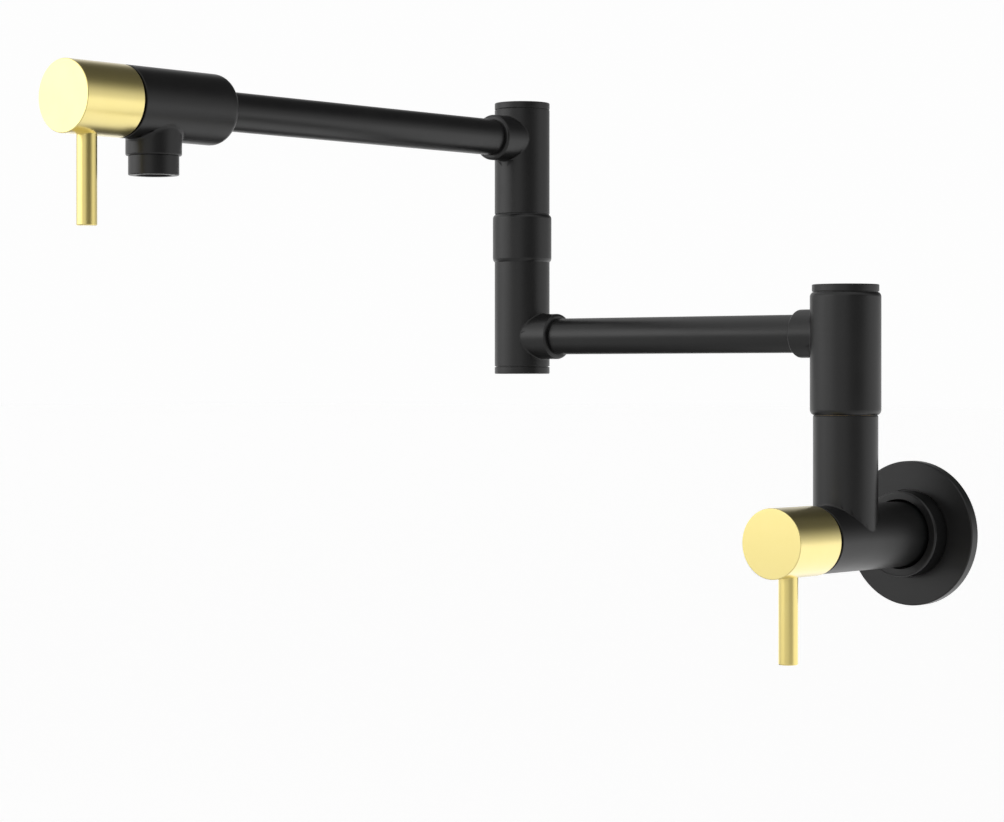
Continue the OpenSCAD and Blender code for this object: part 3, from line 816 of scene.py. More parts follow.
INNER_FINISHES: dict[str, PlainFinish] = {
    "raw_brass": PlainFinish("raw_brass", (0.62, 0.43, 0.17), (0.5, 0.33, 0.12), (0.24, 0.36),
                             metallic=1.0, relief=0.08),
    "rubber": PlainFinish("rubber", (0.02, 0.02, 0.02), (0.03, 0.03, 0.031), (0.5, 0.62)),
    "ceramic": PlainFinish("ceramic", (0.8, 0.79, 0.74), (0.74, 0.72, 0.66), (0.16, 0.24),
                           relief=0.03),
    "acetal": PlainFinish("acetal", (0.78, 0.78, 0.74), (0.7, 0.7, 0.66), (0.34, 0.44)),
    "steel": PlainFinish("steel", (0.55, 0.56, 0.57), (0.45, 0.46, 0.47), (0.26, 0.4),
                         metallic=1.0, relief=0.06),
    "foam": PlainFinish("foam", (0.03, 0.03, 0.032), (0.055, 0.055, 0.057), (0.8, 0.92),
                        relief_scale=1100.0, relief=0.6),
}


@dataclass
class Finishes:
    """The materials of the tap, made once."""

    shop: Workshop = field(default_factory=Workshop)

    def __post_init__(self) -> None:
        """Makes the coating and the inner finishes."""
        self.black = CoatedFinish().material(self.shop)
        self.inner = {slot: finish.material(self.shop)
                      for slot, finish in INNER_FINISHES.items()}

    def brass(self, name: str, centre: Point, facing: Facing,
              tone: BrassTone) -> bpy.types.Material:
        """Makes the brushed brass for one turned piece.

        Args:
            name: Name of the material.
            centre: A point on the piece's axis, in millimetres.
            facing: Where the axis points.
            tone: Its colours.

        Returns:
            The material.
        """
        return BrushedBrassFinish(name, centre, facing, tone).material(self.shop)


# Where the axes of the tap run, and where its two fronts are

RISER = (0.0, -60.8)
ELBOW = (-198.0, -60.8)
ARM_1_Z = 96.2
ARM_2_Z = 197.3
INLET_FRONT = (0.0, -88.0, 0.0)
OUTLET_FRONT = (ELBOW[0], -335.8, ARM_2_Z)


@dataclass
class WallPlate:
    """The round plate on the wall with its hub and the foam ring behind it."""

    finishes: Finishes
    radius: float = 35.0
    thickness: float = 5.2
    rim: float = 0.6
    hollow: float = 3.0
    hollow_r: float = 32.8
    hub_r: float = 20.75
    hub_bore: float = 16.7
    hub_out: float = 14.8
    hub_rim: float = 1.0
    bore_rim: float = 0.25
    foot_w: float = 0.6
    foot_depth: float = 0.7
    ring_r: float = 18.2
    ring_at: float = 7.4
    ring_w: float = 2.75
    foam_r: float = 32.75
    foam_w: float = 4.6
    foam_outer_rim: float = 0.35
    foam_inner_rim: float = 0.8

    def plate(self) -> bpy.types.Object:
        """Turns the hollow plate and its hub in one piece."""
        half = self.ring_w / 2
        wire = (Profile(self.hollow_r, 0.0)
                .to(self.radius, 0.0, FAINT)
                .to(self.radius, self.thickness, self.rim)
                .to(self.hub_r + self.foot_w, self.thickness, FAINT)
                .to(self.hub_r + self.foot_w, self.thickness - self.foot_depth)
                .to(self.hub_r, self.thickness - self.foot_depth)
                .to(self.hub_r, self.hub_out, self.hub_rim)
                .to(self.hub_bore, self.hub_out, self.bore_rim)
                .to(self.hub_bore, self.ring_at + half)
                .to(self.ring_r, self.ring_at + half)
                .to(self.ring_r, self.ring_at - half)
                .to(self.hub_bore, self.ring_at - half)
                .to(self.hub_bore, self.hollow)
                .to(self.hollow_r, self.hollow, BROKEN))
        piece = Piece("wall_plate", "wall_side", "black_finish", ("escutcheon",))
        return piece.finished(moved(wire.turned(steps=192), Facing.OUT.placed()),
                              self.finishes.black)

    def foam(self) -> bpy.types.Object:
        """Turns the foam ring, whose edges bulge a little."""
        inner = self.foam_r - self.foam_w
        wire = (Profile(inner, 0.0)
                .to(self.foam_r, 0.0, self.foam_outer_rim)
                .to(self.foam_r, self.hollow, self.foam_outer_rim)
                .to(inner, self.hollow, self.foam_inner_rim)
                .to(inner, 0.0, self.foam_inner_rim))
        piece = Piece("foam_ring", "wall_side", "rubber", ("wall_gasket",))
        return piece.finished(moved(wire.turned(steps=128), Facing.OUT.placed()),
                              self.finishes.inner["foam"])

    def build(self) -> None:
        """Builds the plate and the foam ring."""
        self.plate()
        self.foam()


@dataclass
class InletNipple:
    """The brass nipple that enters the wall, with its pipe thread and its key socket."""

    finishes: Finishes
    length: float = 16.0
    core_r: float = 9.33
    crest_r: float = 10.46
    nose_rim: float = 0.9
    pitch: float = 1.814
    turns: int = 8
    per_turn: int = 64
    run_in: float = 0.3
    root_sink: float = 0.12
    centre_share: float = 0.45
    flank_share: float = 0.46
    crest_share: float = 0.09
    bore_r: float = 5.5
    stop_r: float = 12.5
    stop_t: float = 3.0
    spigot_r: float = 10.0
    spigot_rim: float = 1.0
    end: float = 27.0
    key_flats: float = 12.0
    key_len: float = 8.0

    def thread(self) -> bmesh.types.BMesh:
        """Winds the ridge of the thread round the core."""
        bm = bmesh.new()
        start = -self.length + self.run_in + self.pitch * self.centre_share
        root = self.core_r - self.root_sink
        flank, crest = self.pitch * self.flank_share, self.pitch * self.crest_share
        corners = [(root, start - flank), (self.crest_r, start - crest),
                   (self.crest_r, start + crest), (root, start + flank)]
        ridge = bm.faces.new([bm.verts.new((r, 0.0, z)) for r, z in corners])
        bmesh.ops.spin(bm, geom=[ridge, *ridge.edges, *ridge.verts], cent=(0.0, 0.0, 0.0),
                       axis=(0.0, 0.0, 1.0), dvec=(0.0, 0.0, self.pitch / self.per_turn),
                       angle=math.tau * self.turns, steps=self.per_turn * self.turns)
        bmesh.ops.recalc_face_normals(bm, faces=bm.faces[:])
        return bm

    def body(self) -> bmesh.types.BMesh:
        """Turns the nipple with its stop and spigot."""
        wire = (Profile(self.bore_r, -self.length)
                .to(self.core_r, -self.length, self.nose_rim)
                .to(self.core_r, 0.0)
                .to(self.stop_r, 0.0, FINE)
                .to(self.stop_r, self.stop_t, FINE)
                .to(self.spigot_r, self.stop_t)
                .to(self.spigot_r, self.end, self.spigot_rim)
                .to(self.bore_r, self.end))
        return wire.turned(steps=128)

    def build(self) -> bpy.types.Object:
        """Builds the nipple.

        Returns:
            Its object.
        """
        key = bmesh.new()
        corner_r = self.key_flats / 2 / math.cos(math.radians(30))
        bmesh.ops.create_cone(key, cap_ends=True, segments=6, depth=self.key_len + 2 * PAST,
                              radius1=corner_r, radius2=corner_r)
        moved(key, Matrix.Translation((0.0, 0.0, self.end - self.key_len / 2 + PAST)))
        nipple = fitted(self.body(), Fit.CUT, [key])
        nipple = fitted(nipple, Fit.JOIN, [self.thread()])
        piece = Piece("inlet_nipple", "wall_side", "raw_brass", ("inlet_adapter",))
        return piece.finished(moved(nipple, Facing.OUT.placed()),
                              self.finishes.inner["raw_brass"])


@dataclass
class HeadworkPocket:
    """The stepped hole that a quarter-turn headwork screws into."""

    pocket_r: float = 13.2
    pocket: float = 7.0
    thread_r: float = 11.05
    thread: float = 7.5
    chamber_r: float = 10.3
    depth: float = 36.0

    def cutter(self, front: float) -> bmesh.types.BMesh:
        """Turns the shape to cut out of a body.

        Args:
            front: Height of the body's front plane.

        Returns:
            The cutter along +Z.
        """
        step = front - self.pocket
        wire = (Profile(0.0, front - self.depth)
                .to(self.chamber_r, front - self.depth)
                .to(self.chamber_r, step - self.thread)
                .to(self.thread_r, step - self.thread)
                .to(self.thread_r, step)
                .to(self.pocket_r, step)
                .to(self.pocket_r, front + PAST)
                .to(0.0, front + PAST))
        return wire.turned(steps=96, closed=False)


@dataclass
class ValveBody:
    """The horizontal valve body and the riser that stands on it."""

    finishes: Finishes
    radius: float = 15.7
    back: float = 3.4
    front: float = 88.0
    set_back: float = 1.8
    rim: float = 0.4
    bead_r: float = 16.2
    bead: tuple[float, float] = (4.5, 5.4)
    riser_r: float = 15.25
    riser_top: float = 57.4
    riser_rim: float = 0.3
    fillet: float = 0.45
    socket_r: float = 10.05
    socket_end: float = 27.4
    water_r: float = 5.0
    water_depth: float = 35.0
    post_r: float = 12.05
    post_seat: float = 15.0
    screw_r: float = 2.05
    screw_out: float = 11.9
    screw_reach: float = 20.0

    def outside(self) -> bmesh.types.BMesh:
        """Joins the turned body and the riser, with a small fillet between them."""
        out = Facing.OUT.placed()
        low, high = self.bead
        wire = (Profile(0.0, self.back).to(self.radius, self.back, self.rim)
                .to(self.radius, low).to(self.bead_r, low).to(self.bead_r, high)
                .to(self.radius, high).to(self.radius, self.front - self.set_back, self.rim)
                .to(0.0, self.front - self.set_back))
        body = moved(wire.turned(steps=160, segments=8, closed=False, row=ROW), out)
        riser = moved(rod(self.riser_r, 0.0, self.riser_top, 0.0, self.riser_rim, steps=160,
                          row=ROW),
                      Matrix.Translation((*RISER, 0.0)))
        return fitted(body, Fit.JOIN, [riser], self.fillet)

    def holes(self) -> list[bmesh.types.BMesh]:
        """Makes the holes for nipple, headwork, post, water and lock screws."""
        out, up = Facing.OUT.placed(), Matrix.Translation((*RISER, 0.0))
        screw = moved(rod(self.screw_r, -self.screw_reach, self.screw_reach, steps=48),
                      Facing.RIGHT.placed((0.0, -self.screw_out, 0.0)))
        return [moved(rod(self.socket_r, self.back - PAST, self.socket_end, steps=96), out),
                moved(HeadworkPocket().cutter(self.front), out),
                moved(rod(self.post_r, self.riser_top - self.post_seat, self.riser_top + PAST,
                          steps=96), up),
                moved(rod(self.water_r, 0.0, self.riser_top, steps=64), up),
                moved(rod(self.water_r, self.socket_end - PAST, self.front - self.water_depth,
                          steps=64), out),
                screw]

    def build(self) -> bpy.types.Object:
        """Builds the valve body.

        Returns:
            Its object.
        """
        piece = Piece("valve_body_coated", "wall_side", "black_finish", ("valve_body",))
        return piece.finished(fitted(self.outside(), Fit.CUT, self.holes()),
                              self.finishes.black)


@dataclass
class SideBoss:
    """A short boss that takes an arm tube, with the tube's seat and the water way."""

    end: float
    radius: float = 11.5
    rim: float = 1.4
    seat: float = 9.0
    seat_r: float = 9.15
    water_r: float = 7.0

    def outside(self, place: Matrix) -> bmesh.types.BMesh:
        """Turns the boss.

        Args:
            place: Where its axis starts.

        Returns:
            The boss in the frame.
        """
        return moved(rod(self.radius, 0.0, self.end, 0.0, self.rim, steps=144, row=ROW), place)

    def space(self, place: Matrix) -> bmesh.types.BMesh:
        """Turns the stepped hole inside the boss.

        Args:
            place: Where its axis starts.

        Returns:
            The cutter in the frame.
        """
        wire = (Profile(0.0, 0.0).to(self.water_r, 0.0).to(self.water_r, self.end - self.seat)
                .to(self.seat_r, self.end - self.seat).to(self.seat_r, self.end + PAST)
                .to(0.0, self.end + PAST))
        return moved(wire.turned(steps=96, closed=False), place)


def drawn_in_rod(r: float, z0: float, z1: float, arc_r: float, low: float,
                 high: float, steps: int = 160) -> bmesh.types.BMesh:
    """Turns a rod whose ends curve in on arcs that stop short of a full quarter.

    Args:
        r: Radius of the rod.
        z0: Lower end.
        z1: Upper end.
        arc_r: Radius of the arcs.
        low: How far the lower end draws in.
        high: How far the upper end draws in.
        steps: Facets round the axis.

    Returns:
        The rod along +Z.
    """
    low_angle = math.degrees(math.acos((arc_r - low) / arc_r))
    high_angle = math.degrees(math.acos((arc_r - high) / arc_r))
    low_rise = arc_r * math.sin(math.radians(low_angle))
    high_rise = arc_r * math.sin(math.radians(high_angle))
    wire = (Profile(0.0, z0).to(r - low, z0)
            .swing(r - arc_r, z0 + low_rise, low_angle)
            .to(r, z1 - high_rise)
            .swing(r - arc_r, z1 - high_rise, high_angle)
            .to(0.0, z1))
    return wire.turned(steps=steps, closed=False, row=ROW)


@dataclass
class RiserSwivel:
    """The sleeve that turns on the riser, with its boss, and the cap on top."""

    finishes: Finishes
    radius: float = 16.7
    low: float = 57.9
    top: float = 115.4
    arc_r: float = 2.8
    low_step: float = 1.45
    top_step: float = 1.1
    boss_end: float = 26.0
    fillet: float = 0.5
    bore_r: float = 11.05
    skirt_r: float = 14.3
    skirt_top: float = 61.0
    pocket_r: float = 13.45
    shelf: float = 110.2
    cap_r: float = 15.75
    cap_low: float = 115.8
    cap_top: float = 119.1
    cap_rim: float = 0.5
    cap_neck_r: float = 15.1
    seam_rim: float = 0.2
    plug_r: float = 13.4
    plug_low: float = 111.6
    plug_wall: float = 2.0

    def sleeve(self) -> bpy.types.Object:
        """Builds the sleeve with its boss."""
        up = Matrix.Translation((*RISER, 0.0))
        along = Facing.LEFT.placed((*RISER, ARM_1_Z))
        boss = SideBoss(self.boss_end)
        barrel = moved(drawn_in_rod(self.radius, self.low, self.top, self.arc_r, self.low_step,
                                    self.top_step), up)
        solid = fitted(barrel, Fit.JOIN, [boss.outside(along)], self.fillet)
        bore = (Profile(0.0, self.low - PAST).to(self.skirt_r, self.low - PAST)
                .to(self.skirt_r, self.skirt_top).to(self.bore_r, self.skirt_top)
                .to(self.bore_r, self.shelf).to(self.pocket_r, self.shelf)
                .to(self.pocket_r, self.top + PAST).to(0.0, self.top + PAST))
        solid = fitted(solid, Fit.CUT,
                       [moved(bore.turned(steps=96, closed=False), up), boss.space(along)])
        piece = Piece("riser_sleeve_coated", "arm_1", "black_finish", ("riser_sleeve",))
        return piece.finished(solid, self.finishes.black)

    def cap(self) -> bpy.types.Object:
        """Turns the cap with its hollow plug."""
        inner = self.plug_r - self.plug_wall
        wire = (Profile(0.0, self.cap_low).to(inner, self.cap_low)
                .to(inner, self.plug_low).to(self.plug_r, self.plug_low)
                .to(self.plug_r, self.top).to(self.cap_neck_r, self.top)
                .to(self.cap_neck_r, self.cap_low).to(self.cap_r, self.cap_low, self.seam_rim)
                .to(self.cap_r, self.cap_top, self.cap_rim).to(0.0, self.cap_top))
        piece = Piece("riser_cap_coated", "arm_1", "black_finish", ("riser_cap",))
        return piece.finished(moved(wire.turned(steps=160, closed=False),
                                    Matrix.Translation((*RISER, 0.0))), self.finishes.black)

    def build(self) -> None:
        """Builds the sleeve and its cap."""
        self.sleeve()
        self.cap()


@dataclass
class ArmTube:
    """A drawn tube between two seats."""

    finishes: Finishes
    name: str
    body: str
    node: str
    place: Matrix
    start: float
    end: float
    radius: float = 9.1
    wall: float = 1.3

    def build(self) -> bpy.types.Object:
        """Turns the tube.

        Returns:
            Its object.
        """
        inner = self.radius - self.wall
        wire = (Profile(inner, self.start).to(self.radius, self.start, FINE)
                .to(self.radius, self.end, FINE).to(inner, self.end))
        piece = Piece(self.name, self.body, "black_finish", (self.node,))
        return piece.finished(moved(wire.turned(steps=128), self.place), self.finishes.black)


@dataclass
class Elbow:
    """The two barrels of the elbow, its collar and its caps."""

    finishes: Finishes
    radius: float = 14.1
    bore_r: float = 10.05
    rim: float = 0.2
    boss_end: float = 24.5
    fillet: float = 0.5
    lower_low: float = 81.1
    collar_low: float = 134.5
    neck_r: float = 12.5
    neck_h: float = 8.0
    collar_r: float = 15.05
    collar_h: float = 24.2
    collar_arc: float = 2.6
    collar_step: float = 0.95
    lip: float = 5.0
    lip_r: float = 10.85
    upper_low: float = 159.3
    upper_top: float = 212.6
    seam: float = 0.4
    cap_rim: float = 0.5
    shoulder_r: float = 13.4
    plug_r: float = 10.0
    bottom_cap: float = 3.5
    bottom_plug: float = 7.5
    top_cap: float = 3.2
    top_plug: float = 7.7
    ring_floor: float = 8.2
    ring_w: float = 2.1

    def lower_barrel(self) -> bpy.types.Object:
        """Builds the barrel of the first arm with its neck and boss."""
        at = Matrix.Translation((*ELBOW, 0.0))
        along = Facing.RIGHT.placed((*ELBOW, ARM_1_Z))
        boss = SideBoss(self.boss_end)
        outer = (Profile(0.0, self.lower_low).to(self.radius, self.lower_low, self.rim)
                 .to(self.radius, self.collar_low).to(self.neck_r, self.collar_low)
                 .to(self.neck_r, self.collar_low + self.neck_h)
                 .to(0.0, self.collar_low + self.neck_h))
        solid = fitted(moved(outer.turned(steps=160, closed=False, row=ROW), at), Fit.JOIN,
                       [boss.outside(along)], self.fillet)
        bore = moved(rod(self.bore_r, self.lower_low - PAST,
                         self.collar_low + self.neck_h + PAST, steps=96), at)
        piece = Piece("elbow_lower_barrel_coated", "arm_1", "black_finish",
                      ("elbow_lower_barrel",))
        return piece.finished(fitted(solid, Fit.CUT, [bore, boss.space(along)]),
                              self.finishes.black)

    def upper_barrel(self) -> bpy.types.Object:
        """Builds the barrel of the second arm with its boss."""
        at = Matrix.Translation((*ELBOW, 0.0))
        along = Facing.OUT.placed((*ELBOW, ARM_2_Z))
        boss = SideBoss(self.boss_end)
        barrel = moved(rod(self.radius, self.upper_low, self.upper_top, self.rim, self.rim,
                           steps=160, row=ROW), at)
        solid = fitted(barrel, Fit.JOIN, [boss.outside(along)], self.fillet)
        bore = moved(rod(self.bore_r, self.upper_low - PAST, self.upper_top + PAST, steps=96), at)
        piece = Piece("elbow_upper_barrel_coated", "arm_2", "black_finish",
                      ("elbow_upper_barrel",))
        return piece.finished(fitted(solid, Fit.CUT, [bore, boss.space(along)]),
                              self.finishes.black)

    def collar(self) -> bpy.types.Object:
        """Builds the collar that holds the swivel together."""
        at = Matrix.Translation((*ELBOW, 0.0))
        top = self.collar_low + self.collar_h
        outer = moved(drawn_in_rod(self.collar_r, self.collar_low, top, self.collar_arc,
                                   self.collar_step, self.collar_step), at)
        inner_r = self.neck_r + SEAT
        bore = (Profile(0.0, self.collar_low - PAST).to(inner_r, self.collar_low - PAST)
                .to(inner_r, top - self.lip).to(self.lip_r, top - self.lip)
                .to(self.lip_r, top + PAST).to(0.0, top + PAST))
        solid = fitted(outer, Fit.CUT, [moved(bore.turned(steps=96, closed=False), at)])
        piece = Piece("elbow_collar_coated", "arm_1", "black_finish", ("elbow_collar",))
        return piece.finished(solid, self.finishes.black)

    def cap(self, name: str, body: str, node: str, place: Matrix, height: float,
            plug: float) -> bpy.types.Object:
        """Turns a cap with its plug going down from the end of a barrel.

        Args:
            name: Name of the piece.
            body: The body that it rides on.
            node: The node that it replaces.
            place: The barrel's end, with +Z pointing out of it.
            height: Height of the cap.
            plug: Length of the plug.

        Returns:
            The cap's object.
        """
        half = self.ring_w / 2
        wire = (Profile(0.0, -plug).to(self.plug_r, -plug, BROKEN)
                .to(self.plug_r, -plug / 2 - half).to(self.ring_floor, -plug / 2 - half)
                .to(self.ring_floor, -plug / 2 + half).to(self.plug_r, -plug / 2 + half)
                .to(self.plug_r, 0.0).to(self.shoulder_r, 0.0)
                .to(self.shoulder_r, self.seam).to(self.radius, self.seam, self.rim)
                .to(self.radius, self.seam + height, self.cap_rim)
                .to(0.0, self.seam + height))
        piece = Piece(name, body, "black_finish", (node,))
        return piece.finished(moved(wire.turned(steps=160, closed=False), place),
                              self.finishes.black)

    def build(self) -> None:
        """Builds the barrels, the collar and both caps."""
        self.lower_barrel()
        self.collar()
        self.upper_barrel()
        self.cap("elbow_bottom_cap_coated", "arm_1", "elbow_bottom_cap",
                 Facing.DOWN.placed((*ELBOW, self.lower_low)), self.bottom_cap,
                 self.bottom_plug)
        self.cap("elbow_top_cap_coated", "arm_2", "elbow_top_cap",
                 Facing.UP.placed((*ELBOW, self.upper_top)), self.top_cap, self.top_plug)


@dataclass
class OutletHead:
    """The outlet head with its spout and aerator."""

    finishes: Finishes
    radius: float = 16.25
    back: float = 216.0
    front: float = 275.0
    set_back: float = 0.8
    back_round: float = 4.6
    rim: float = 0.4
    tube_r: float = 9.15
    tube_seat: float = 9.0
    water_r: float = 5.0
    water_depth: float = 35.0
    spout_at: float = 255.6
    spout_r: float = 12.55
    spout_drop: float = 23.1
    spout_rim: float = 0.8
    fillet: float = 1.0
    spout_water_r: float = 4.5
    thread_r: float = 10.0
    thread_top: float = 16.6
    thread_seat: float = 15.2
    housing_r: float = 11.35
    housing_end: float = 31.8
    housing_rim: float = 0.5
    inner_r: float = 8.4
    lip_r: float = 7.9
    ledge: float = 27.7
    insert_low: float = 30.2
    insert_top: float = 25.2
    ring_wall: float = 1.0
    cell: float = 1.5
    web: float = 0.3
    corner_join: float = 0.02
    comb_at: float = 1.6
    comb_t: float = 2.0
    comb_margin: float = 0.2

    def along(self) -> Matrix:
        """Gives the place of the head's axis, with +Z pointing out of its front."""
        return Facing.OUT.placed((*ELBOW, ARM_2_Z))

    def down(self) -> Matrix:
        """Gives the place of the spout's axis, with +Z pointing down."""
        return Facing.DOWN.placed((ELBOW[0], ELBOW[1] - self.spout_at, ARM_2_Z))

    def head(self) -> bpy.types.Object:
        """Builds the head and its spout."""
        along, down = self.along(), self.down()
        body = moved(rod(self.radius, self.back, self.front - self.set_back, self.back_round,
                         self.rim, steps=160, row=ROW), along)
        spout = moved(rod(self.spout_r, 0.0, self.spout_drop, 0.0, self.spout_rim, steps=144,
                          row=ROW), down)
        solid = fitted(body, Fit.JOIN, [spout], self.fillet)
        mouth = (Profile(0.0, 0.0).to(self.spout_water_r, 0.0)
                 .to(self.spout_water_r, self.thread_seat)
                 .to(self.thread_r + SEAT, self.thread_seat)
                 .to(self.thread_r + SEAT, self.spout_drop + PAST)
                 .to(0.0, self.spout_drop + PAST))
        cutters = [moved(HeadworkPocket().cutter(self.front), along),
                   moved(rod(self.tube_r, self.back - PAST, self.back + self.tube_seat,
                             steps=96), along),
                   moved(rod(self.water_r, self.back, self.front - self.water_depth,
                             steps=64), along),
                   moved(mouth.turned(steps=96, closed=False), down)]
        piece = Piece("outlet_head_coated", "arm_2", "black_finish", ("outlet_head",))
        return piece.finished(fitted(solid, Fit.CUT, cutters), self.finishes.black)

    def housing(self) -> bpy.types.Object:
        """Turns the aerator's housing."""
        wire = (Profile(self.inner_r, self.thread_top).to(self.thread_r, self.thread_top, BROKEN)
                .to(self.thread_r, self.spout_drop)
                .to(self.housing_r, self.spout_drop, FAINT)
                .to(self.housing_r, self.housing_end, self.housing_rim)
                .to(self.lip_r, self.housing_end, SOFT)
                .to(self.lip_r, self.ledge)
                .to(self.inner_r, self.ledge))
        piece = Piece("aerator_ring_coated", "arm_2", "black_finish", ("aerator_housing",))
        return piece.finished(moved(wire.turned(steps=144), self.down()), self.finishes.black)

    def honeycomb(self, z: float, r: float) -> bmesh.types.BMesh:
        """Makes a round sheet of hexagonal cells.

        Args:
            z: Height of the sheet's lower face.
            r: Radius that its cells stay within.

        Returns:
            The sheet, open in each cell.
        """
        bm = bmesh.new()
        pitch_x, pitch_y = self.cell * math.sqrt(3), self.cell * 1.5
        count = int(r / self.cell) + 2
        for row in range(-count, count + 1):
            for col in range(-count, count + 1):
                x, y = (col + 0.5 * (row % 2)) * pitch_x, row * pitch_y
                if math.hypot(x, y) > r:
                    continue
                bmesh.ops.create_circle(
                    bm, cap_ends=True, segments=6, radius=self.cell,
                    matrix=Matrix.Translation((x, y, z)))
        bmesh.ops.remove_doubles(bm, verts=bm.verts[:], dist=self.corner_join)
        inner = bmesh.ops.inset_individual(bm, faces=bm.faces[:], thickness=self.web / 2)
        webs = set(inner["faces"])
        bmesh.ops.delete(bm, geom=[f for f in bm.faces if f not in webs], context="FACES")
        bmesh.ops.solidify(bm, geom=bm.faces[:], thickness=self.comb_t)
        bmesh.ops.recalc_face_normals(bm, faces=bm.faces[:])
        return bm

    def insert(self) -> bpy.types.Object:
        """Builds the insert that mixes air into the water: a ring with a honeycomb in it."""
        outer, neck = self.inner_r - SEAT, self.lip_r - SEAT
        mouth = neck - self.ring_wall
        wire = (Profile(mouth, self.insert_top).to(outer, self.insert_top, FINE)
                .to(outer, self.ledge).to(neck, self.ledge)
                .to(neck, self.insert_low, BROKEN).to(mouth, self.insert_low, BROKEN))
        ring = wire.turned(steps=96)
        comb = self.honeycomb(self.insert_low - self.comb_at, mouth - self.comb_margin)
        mesh = bpy.data.meshes.new("comb")
        comb.to_mesh(mesh)
        comb.free()
        ring.from_mesh(mesh)
        bpy.data.meshes.remove(mesh)
        piece = Piece("aerator_honeycomb", "arm_2", "acetal", ("aerator_insert",))
        return piece.finished(moved(ring, self.down()), self.finishes.inner["acetal"])

    def build(self) -> None:
        """Builds the head, the aerator's housing and its insert."""
        self.head()
        self.housing()
        self.insert()


@dataclass
class LeverHandle:
    """A brass knob with its lever."""

    finishes: Finishes
    name: str
    body: str
    knob_node: str
    lever_node: str
    front: Point
    radius: float = 16.25
    seam: float = 0.4
    length: float = 33.0
    rim: float = 0.4
    recess_r: float = 13.2
    recess: float = 4.0
    bore_r: float = 4.05
    bore_end: float = 15.5
    lever_r: float = 4.55
    lever_seat: float = 15.45
    lever_end: float = 55.7
    lever_inset: float = 13.5
    lever_rim: float = 0.5
    stud_r: float = 3.0
    stud_len: float = 9.0
    screw_r: float = 2.55
    screw_at: float = 10.0

    def lever_place(self) -> Matrix:
        """Gives the place of the lever's axis, with +Z pointing down."""
        x, y, z = self.front
        return Facing.DOWN.placed((x, y - self.seam - self.length + self.lever_inset, z))

    def knob(self) -> bpy.types.Object:
        """Builds the knob with the holes for its lever and its screw."""
        face = self.seam + self.length
        wire = (Profile(0.0, self.bore_end).to(self.bore_r, self.bore_end)
                .to(self.bore_r, self.seam + self.recess)
                .to(self.recess_r, self.seam + self.recess)
                .to(self.recess_r, self.seam, FINE)
                .to(self.radius, self.seam, self.rim)
                .to(self.radius, face, self.rim)
                .to(0.0, face))
        solid = moved(wire.turned(steps=192, closed=False), Facing.OUT.placed(self.front))
        x, y, z = self.front
        hole = (Profile(0.0, self.lever_seat - self.stud_len - SEAT)
                .to(self.stud_r + SEAT, self.lever_seat - self.stud_len - SEAT)
                .to(self.stud_r + SEAT, self.lever_seat).to(self.lever_r + SEAT, self.lever_seat)
                .to(self.lever_r + SEAT, self.radius + 2 * PAST).to(0.0, self.radius + 2 * PAST))
        screw = moved(rod(self.screw_r, 0.0, self.radius + 2 * PAST, steps=48),
                      Facing.LEFT.placed((x, y - self.screw_at, z)))
        solid = fitted(solid, Fit.CUT,
                       [moved(hole.turned(steps=72, closed=False), self.lever_place()), screw])
        piece = Piece(f"{self.name}_knob_brushed", self.body, "gold_finish", (self.knob_node,))
        return piece.finished(solid, self.finishes.brass(f"{self.name}_knob_brass", self.front,
                                                         Facing.OUT, BrassTone.PALE))

    def lever(self) -> bpy.types.Object:
        """Turns the lever and its stud."""
        wire = (Profile(0.0, self.lever_seat - self.stud_len)
                .to(self.stud_r, self.lever_seat - self.stud_len, SOFT)
                .to(self.stud_r, self.lever_seat)
                .to(self.lever_r, self.lever_seat, FAINT)
                .to(self.lever_r, self.lever_end, self.lever_rim)
                .to(0.0, self.lever_end))
        place = self.lever_place()
        piece = Piece(f"{self.name}_lever_brushed", self.body, "gold_finish",
                      (self.lever_node,))
        return piece.finished(moved(wire.turned(steps=96, closed=False), place),
                              self.finishes.brass(f"{self.name}_lever_brass",
                                                  tuple(place.translation), Facing.DOWN,
                                                  BrassTone.DEEP))

    def build(self) -> None:
        """Builds the knob and the lever."""
        self.knob()
        self.lever()


@dataclass
class InnerPieces:
    """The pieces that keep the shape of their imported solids."""

    finishes: Finishes

    def dress(self) -> None:
        """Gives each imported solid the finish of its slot."""
        slots = {part["node"]: part["material_slot"] for part in frame["record"]["subparts"]}
        for name, obj in frame["nodes"].items():
            slot = slots[name]
            material = self.finishes.inner.get(slot, self.finishes.black)
            for place in obj.material_slots:
                place.material = material
            if not obj.hide_render:
                log.info("%s: packed solid in %s", name, material.name)


# Stage


@dataclass(frozen=True)
class Lobe:
    """A region of the surroundings that is brighter or, with a strength below zero, darker.

    The two half angles, in degrees, are where it is at full strength and where it ends.
    """

    direction: Point
    inner: float
    outer: float
    strength: float


@dataclass(frozen=True)
class Lamp:
    """A soft rectangular lamp, in metres, whose face looks white at a radiance of 1."""

    name: str
    place: Point
    aim: Point
    width: float
    height: float
    radiance: float

    def hang(self) -> None:
        """Hangs the lamp out of the camera's sight."""
        data = bpy.data.lights.new(self.name, "AREA")
        data.shape, data.size, data.size_y = "RECTANGLE", self.width, self.height
        data.energy = self.radiance * math.pi * self.width * self.height
        obj = bpy.data.objects.new(self.name, data)
        bpy.context.scene.collection.objects.link(obj)
        obj.location = self.place
        obj.rotation_mode = "QUATERNION"
        sight = Vector(self.aim) - Vector(self.place)
        obj.rotation_quaternion = sight.to_track_quat("-Z", "Y")
        obj.visible_camera = False


